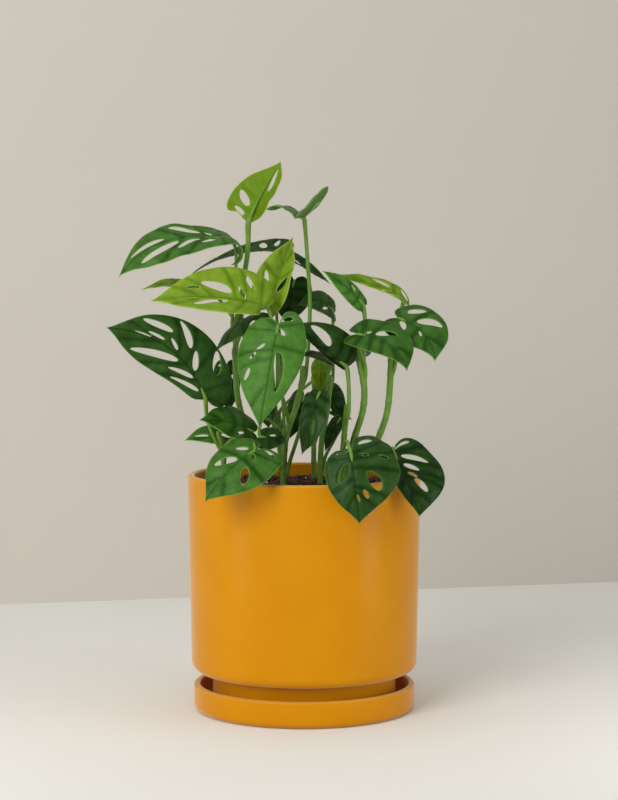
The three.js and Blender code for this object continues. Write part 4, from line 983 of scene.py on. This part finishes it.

# %% [markdown]
# ## Leaf blades as living material
# A monstera blade is a leathery green sheet about half a millimetre thick under a clear wax. Light
# comes back from three depths: a soft gloss from the wax, green from the tissue, and yellower green
# that has passed through from behind. Principled gives the first two and a share of Translucent the
# third. The gloss is kept low, because a stronger one turns the greens milky. Midrib and side veins
# are darker and the tissue between them is mottled. Painted shade and light make the tissue darker
# beside the sunken veins and paler where it puffs up. A fine net of small veins gives the gloss its
# grain, and the thin edge is pale. The underside is yellower. Each leaf also has its own tone, stored
# on its mesh. The tone is partly the leaf's own green and partly painted shade.

# %% Material: leaf blade
def leaf_blade(name, deep, fresh, vein, rim, through, roughness):
    """A waxy blade, on coordinates and distances in millimetres that the mesh stores."""
    material, tree = new_tree(name)
    number = {key: add_node(tree, "ShaderNodeAttribute", attribute_name=key).outputs["Fac"]
              for key in ("vein_mm", "rib_mm", "midrib_mm", "rim_mm", "under", "tone")}
    flat = add_node(tree, "ShaderNodeAttribute", attribute_name="flat_mm").outputs["Vector"]

    def line(key, inner, outer, strength):
        """The strength within inner of a line, and 0 beyond outer, in millimetres."""
        return add_node(tree, "ShaderNodeMapRange", {
            "Value": number[key], "From Min": inner, "From Max": outer, "To Min": strength,
            "To Max": 0.0}, interpolation_type="SMOOTHSTEP").outputs["Result"]

    def mix(share, a, b):
        return add_node(tree, "ShaderNodeMix", {0: share, 6: a, 7: b}, data_type="RGBA").outputs[2]

    mottle = add_node(tree, "ShaderNodeTexNoise", {
        "Vector": flat, "Scale": 1 / 11, "Detail": 4.0, "Roughness": 0.55})
    patches = add_node(tree, "ShaderNodeMapRange", {
        "Value": mottle.outputs["Fac"], "From Min": 0.3, "From Max": 0.7, "To Min": 0.14, "To Max": 0.5})
    # painted shade and light: the tissue is painted darkest along a sunken vein, where shade falls, and
    # palest where it puffs up, 4 mm away
    painted_vein_shade = add_node(tree, "ShaderNodeMapRange", {
        "Value": number["vein_mm"], "From Min": 0.2, "From Max": 4.0, "To Min": -0.14, "To Max": 0.1},
        interpolation_type="SMOOTHSTEP")
    both = add_node(tree, "ShaderNodeMath", {
        0: patches.outputs[0], 1: painted_vein_shade.outputs[0]}, operation="ADD")
    # each leaf's tone is added here: its own green, and partly painted shade on a leaf that faces up
    # into the light
    share = add_node(tree, "ShaderNodeMath", {
        0: both.outputs[0], 1: number["tone"]}, operation="ADD", use_clamp=True)
    green = mix(share.outputs[0], linear(deep), linear(fresh))
    # small veins are some 0.2 mm wide and 2.6 mm apart, drawn twice as wide so that they show
    net = add_node(tree, "ShaderNodeTexVoronoi", {"Vector": flat, "Scale": 1 / 2.6, "Randomness": 0.9},
                   feature="DISTANCE_TO_EDGE")
    threads = add_node(tree, "ShaderNodeMapRange", {
        "Value": net.outputs["Distance"], "From Min": 0.0, "From Max": 0.16, "To Min": 0.14,
        "To Max": 0.0})
    green = mix(threads.outputs["Result"], green, linear(vein))
    green = mix(line("rib_mm", 0.1, 0.8, 0.14), green, linear(vein))
    green = mix(line("vein_mm", 0.1, 0.9, 0.32), green, linear(vein))
    green = mix(line("midrib_mm", 0.3, 1.1, 0.6), green, linear(vein))
    green = mix(line("rim_mm", 0.15, 0.7, 0.6), green, linear(rim))
    back = mix(0.25, green, linear(through))
    colour = mix(number["under"], green, back)
    lift = add_node(tree, "ShaderNodeMath", {0: net.outputs["Distance"], 1: mottle.outputs["Fac"]},
                    operation="ADD")
    bump = add_node(tree, "ShaderNodeBump", {
        "Height": lift.outputs[0], "Strength": 0.25, "Distance": 0.0005})
    wax = add_node(tree, "ShaderNodeBsdfPrincipled", {
        "Base Color": colour, "Roughness": roughness, "Specular IOR Level": 0.15,
        "Normal": bump.outputs["Normal"]})
    lit = mix(0.5, colour, linear(through))
    glow = add_node(tree, "ShaderNodeBsdfTranslucent", {"Color": lit})
    blade = add_node(tree, "ShaderNodeMixShader", {0: 0.22, 1: wax.outputs[0], 2: glow.outputs[0]})
    add_node(tree, "ShaderNodeOutputMaterial", {"Surface": blade.outputs[0]})
    return material


blade_finishes = {
    "leaf_lime": leaf_blade(
        "young leaf blade, lime", "#4C7202", "#A8C83C", "#4E7608", "#C8DE6E", "#A9CC26", 0.42),
    "leaf_green": leaf_blade(
        "leaf blade, fresh green", "#244C06", "#68A440", "#1D4508", "#93C268", "#76AE2C", 0.4),
    "leaf_dark": leaf_blade(
        "leaf blade, deep green", "#143003", "#46742E", "#0F2804", "#76A25C", "#4C8220", 0.38),
}
print("leaf finishes:", len(blade_finishes))

# %% [markdown]
# ## Leaves
# A leaf is one piece: a blade with its stalk. The blade gets two skins 0.8 mm apart that come
# closer at the rim, sunken veins, tissue that puffs up between them, and a slow waviness that grows
# towards the edge. The stalk clasps its stem with a wider sheath, runs up as a slim rod, swells at
# the knee below the blade, and goes on under it as the keel of the midrib.

# %% Stem places, stalks and blades
def beside_stem(number, height, side_deg, offset):
    """A point beside a stem's centre line, off it by the offset."""
    line = stem_lines[number - 1]
    point = np.array([np.interp(height, line[:, 2], line[:, k]) for k in range(3)])
    ahead = np.array([np.interp(height + 1, line[:, 2], line[:, k]) for k in range(3)])
    tangent = unit(ahead - point)
    away = np.array([math.cos(math.radians(side_deg)), math.sin(math.radians(side_deg)), 0])
    away = unit(away - tangent * away.dot(tangent))
    return point + away * offset


def stalk_rod(blade, sides=14):
    """Points and faces of a leaf's stalk, with its sheath, knee and keel."""
    row = blade.row
    radius = row["stalk"]
    number, height, side = row["start"]
    stem_radius = STEMS[number - 1][0]
    # the sheath grows out of the stem's skin, and stands clear of the stem at its upper end
    clear_of_stem = stem_radius + radius + 1.6 * CLEARANCE
    offsets = (stem_radius - 0.4 * radius, stem_radius + 0.5 * radius, clear_of_stem)
    start = [beside_stem(number, height + share * SHEATH, side, offset)
             for share, offset in zip((0, 0.5, 1), offsets)]
    base = np.array(row["base"], float) - blade.face * 0.4 * radius
    tangent = blade.at([0.0])[1][0]
    line = smooth_line([*start, *row["via"], base, base + tangent * 2.5], 90)
    reached = np.concatenate([[0], np.cumsum(np.linalg.norm(np.diff(line, axis=0), axis=1))])
    left = reached[-1] - reached
    sheath = 0.16 * np.exp(-((reached - 9) / 6) ** 2) - 0.4 * np.exp(-(reached / 4) ** 2)
    radii = radius * (0.93 + sheath + 0.14 * np.exp(-((left - 7) / 5) ** 2))
    ring = 0.25 * np.exp(-((left - 13) / 1.1) ** 2)
    keel_y = np.linspace(4.5, 0.86 * blade.length, 34)
    point, _, normal, _ = blade.frames(keel_y)
    share = keel_y / blade.length
    keel_radii = 0.3 + (radius * 0.93 - 0.3) * (1 - share) ** 2.2
    # the keel's top lies 0.5 mm under the blade's middle, and its first points ease down to that
    sunk = keel_radii + 0.5
    knee = 0.4 * radius
    sunk[:3] = np.minimum(sunk[:3], knee + np.array([0.1, 0.3, 0.6]) * (sunk[:3] - knee))
    line = np.vstack([line, point - normal * sunk[:, None]])
    radii = np.concatenate([radii, keel_radii])
    ring = np.concatenate([ring, np.zeros(len(keel_y))])
    points, faces, run = rod(line, radii, sides)
    return points, faces, run, np.repeat(ring, sides)


def make_leaf(name, row, finish, tone, seed):
    """One leaf: the two skins of its blade, the strip round their borders, and its stalk."""
    blade = Blade(row)
    flat, triangles, numbers = flat_mesh(blade, seed)
    sides = np.where(flat[:, 0] < 0, -1.0, 1.0)
    here, normal = blade.normals(flat, sides)
    rim = np.clip(numbers["rim_mm"] / 3, 0, 1)
    vein = np.minimum(numbers["vein_mm"], numbers["midrib_mm"])
    puff = 0.8 * (1 - np.exp(-(vein / 3.5) ** 2)) * rim
    groove = 0.4 * np.exp(-(vein / 0.9) ** 2) + 0.1 * np.exp(-(numbers["rib_mm"] / 0.7) ** 2)
    outward = np.clip(np.abs(flat[:, 0]) / 12, 0, 1)
    wave = [noise.noise(Vector((x / 17, y / 17, seed * 3.7))) for x, y in flat]
    lift = puff - groove + 1.8 * outward * np.array(wave)
    middle = here + normal * lift[:, None]
    half = (0.22 + 0.18 * np.clip(numbers["rim_mm"] / 1.2, 0, 1))[:, None]
    count = len(flat)
    stalk, stalk_faces, run, ring = stalk_rod(blade)
    points = np.vstack([middle + normal * half, middle - normal * half, stalk])
    # an edge that only one triangle has is a border, and there the two skins are joined
    border = {}
    for a, b, c in triangles.tolist():
        for pair in ((a, b), (b, c), (c, a)):
            if pair[::-1] in border:
                del border[pair[::-1]]
            else:
                border[pair] = True
    faces = triangles.tolist() + (triangles[:, ::-1] + count).tolist()
    faces += [[a + count, b + count, b, a] for a, b in border]
    blade_faces = len(faces)
    faces += [[2 * count + c for c in face] for face in stalk_faces]
    none = np.zeros(len(stalk))
    stored = {key: np.concatenate([value, value, none + 9]) for key, value in numbers.items()}
    stored["under"] = np.concatenate([np.zeros(count), np.ones(count), none])
    stored["tone"] = np.full(len(points), tone)
    # each leaf, and each of its skins, has its own layer of the patterns
    upper = np.c_[flat, np.full(count, seed * 11.0)]
    stored["flat_mm"] = np.vstack([upper, upper + [0, 0, 5], run])
    stored["run"] = np.vstack([np.zeros((2 * count, 3)), run])
    stored["ring"] = np.concatenate([np.zeros(2 * count), ring])
    leaf = make_piece(f"{name}_blade_and_stalk", points, faces, [blade_finishes[finish], stem_finish],
                      stored, second_from=blade_faces)
    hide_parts(name)
    return leaf


# tone of a leaf by its number, as the photograph shows it: higher is lighter. It is partly the
# leaf's own green and partly painted shade: leaf_01, which faces up into the light, is painted darker
LIME = {1: -0.3, 5: 0.1, 8: 0.1, 9: 0.24, 10: 0.24, 26: 0.12}
GREEN = {2: 0.2, 3: 0.05, 7: 0.25, 13: 0.24, 16: -0.15, 18: 0.07, 19: 0.02, 22: -0.08, 23: -0.08}
DARK = {4: 0.1, 6: 0.2, 11: 0.05, 12: 0.3, 14: 0.25, 15: 0.2, 17: 0.1, 20: 0.05, 21: -0.1, 24: 0.0,
        28: 0.1}
USUAL_TONE, TONE_SHIFT = 0.05, -0.12
total = 0
for name, row in LEAVES.items():
    number = int(name[-2:])
    finish = "leaf_lime" if number in LIME else "leaf_green" if number in GREEN else "leaf_dark"
    tone = {**LIME, **GREEN, **DARK}.get(number, USUAL_TONE) + TONE_SHIFT
    leaf = make_leaf(name, row, finish, tone, number)
    total += len(leaf.data.polygons)
print("leaf faces in all:", total)

# %% [markdown]
# ## Floor and wall
# The pot stands on a matt pale floor, a little in front of a plain wall that is turned some 13
# degrees. Both belong to the stage and not to the object. The wall is seen only from its front, so
# that it doesn't hide the plant when the camera goes behind it.

# %% Build the stage
def matt(name, colour, one_sided=False):
    """A matt painted surface with the faint unevenness of a rolled coat."""
    material, tree = new_tree(name)
    place = add_node(tree, "ShaderNodeTexCoord").outputs["Object"]
    coat = add_node(tree, "ShaderNodeTexNoise", {"Vector": place, "Scale": per(180), "Detail": 2.0})
    pale = [min(1.0, 1.03 * c) for c in linear(colour)[:3]] + [1.0]
    tint = add_node(tree, "ShaderNodeMix", {
        0: coat.outputs["Fac"], 6: linear(colour), 7: pale}, data_type="RGBA")
    paint = add_node(tree, "ShaderNodeBsdfPrincipled", {
        "Base Color": tint.outputs[2], "Roughness": 0.85, "Specular IOR Level": 0.2})
    surface = paint.outputs[0]
    if one_sided:
        back = add_node(tree, "ShaderNodeNewGeometry").outputs["Backfacing"]
        clear = add_node(tree, "ShaderNodeBsdfTransparent").outputs[0]
        surface = add_node(tree, "ShaderNodeMixShader", {0: back, 1: surface, 2: clear}).outputs[0]
    add_node(tree, "ShaderNodeOutputMaterial", {"Surface": surface})
    return material


def sheet_of(name, corners, material):
    """A flat sheet of the stage from its four corners."""
    mesh = bpy.data.meshes.new(name)
    mesh.from_pydata(corners, [], [(0, 1, 2, 3)])
    mesh.materials.append(material)
    made = bpy.data.objects.new(name, mesh)
    bpy.context.scene.collection.objects.link(made)
    return made


WALL_LEFT, WALL_RIGHT = Vector((-0.349, 0.561, 0)), Vector((0.367, 0.732, 0))
along_wall = (WALL_RIGHT - WALL_LEFT).normalized()
left_end, right_end = WALL_LEFT - along_wall * 3, WALL_RIGHT + along_wall * 3
up = Vector((0, 0, 3))
sheet_of("floor", [(-5, -4, 0), (5, -4, 0), (5, 3, 0), (-5, 3, 0)], matt("matt floor", "#E6E5DE"))
wall = sheet_of("wall", [left_end, right_end, right_end + up, left_end + up],
                matt("painted wall", "#CBC5BB", one_sided=True))
print("the wall faces", [round(c, 2) for c in wall.data.polygons[0].normal])

# %% [markdown]
# ## Light
# The room is lit by a large soft source from the upper left and in front, so shadows fall softly to
# the right. A weaker source on the right lifts the shaded side. Two small cards, half a metre to
# each side of the pot, draw its pale sides, and a ceiling light and a pale sky fill the rest.

# %% Lights
def soft_light(name, place, target, size, watts):
    """A white rectangular light that looks at its target. Places and sizes are in metres."""
    data = bpy.data.lights.new(name, "AREA")
    data.shape = "RECTANGLE"
    data.size, data.size_y = size
    data.energy = watts
    light = bpy.data.objects.new(name, data)
    bpy.context.scene.collection.objects.link(light)
    light.location = place
    light.rotation_euler = (Vector(target) - Vector(place)).to_track_quat("-Z", "Y").to_euler()


soft_light("window_left", (-1.15, -2.1, 1.5), (0, 0, 0.25), (1.2, 1.6), 42)
soft_light("window_right", (1.9, -1.3, 1.0), (0, 0, 0.2), (0.7, 1.3), 3)
soft_light("card_right", (0.52, -0.25, 0.17), (0.1, 0, 0.11), (0.2, 0.3), 0.6)
soft_light("card_left", (-0.55, -0.3, 0.17), (-0.1, 0, 0.11), (0.2, 0.3), 0.35)
soft_light("ceiling", (-0.2, -0.4, 2.6), (0, 0.1, 0), (2.2, 2.2), 13)
# plain sRGB keeps the mustard and the greens as full as they are in the photograph
bpy.context.scene.view_settings.view_transform = "Standard"
world = bpy.data.worlds.new("pale room")
bpy.context.scene.world = world
world.use_nodes = True
world.node_tree.nodes["Background"].inputs["Color"].default_value = linear("#FDFDFF")
world.node_tree.nodes["Background"].inputs["Strength"].default_value = 0.38

# %% [markdown]
# ## Camera
# The photograph was taken from about two metres, at the height of the upper leaves and looking 4
# degrees down. A long lens keeps the pot's sides nearly parallel.

# %% Camera
CAMERA_LENS, CAMERA_DOWN = 102.87, 4.03     # millimetres, and degrees below level
camera_data = bpy.data.cameras.new("camera")
camera_data.lens = CAMERA_LENS
camera = bpy.data.objects.new("camera", camera_data)
bpy.context.scene.collection.objects.link(camera)
camera.location = (0.0042, -1.985, 0.410)
camera.rotation_euler = (math.radians(90 - CAMERA_DOWN), 0, 0)
bpy.context.scene.camera = camera
print("lens:", camera_data.lens, "mm")
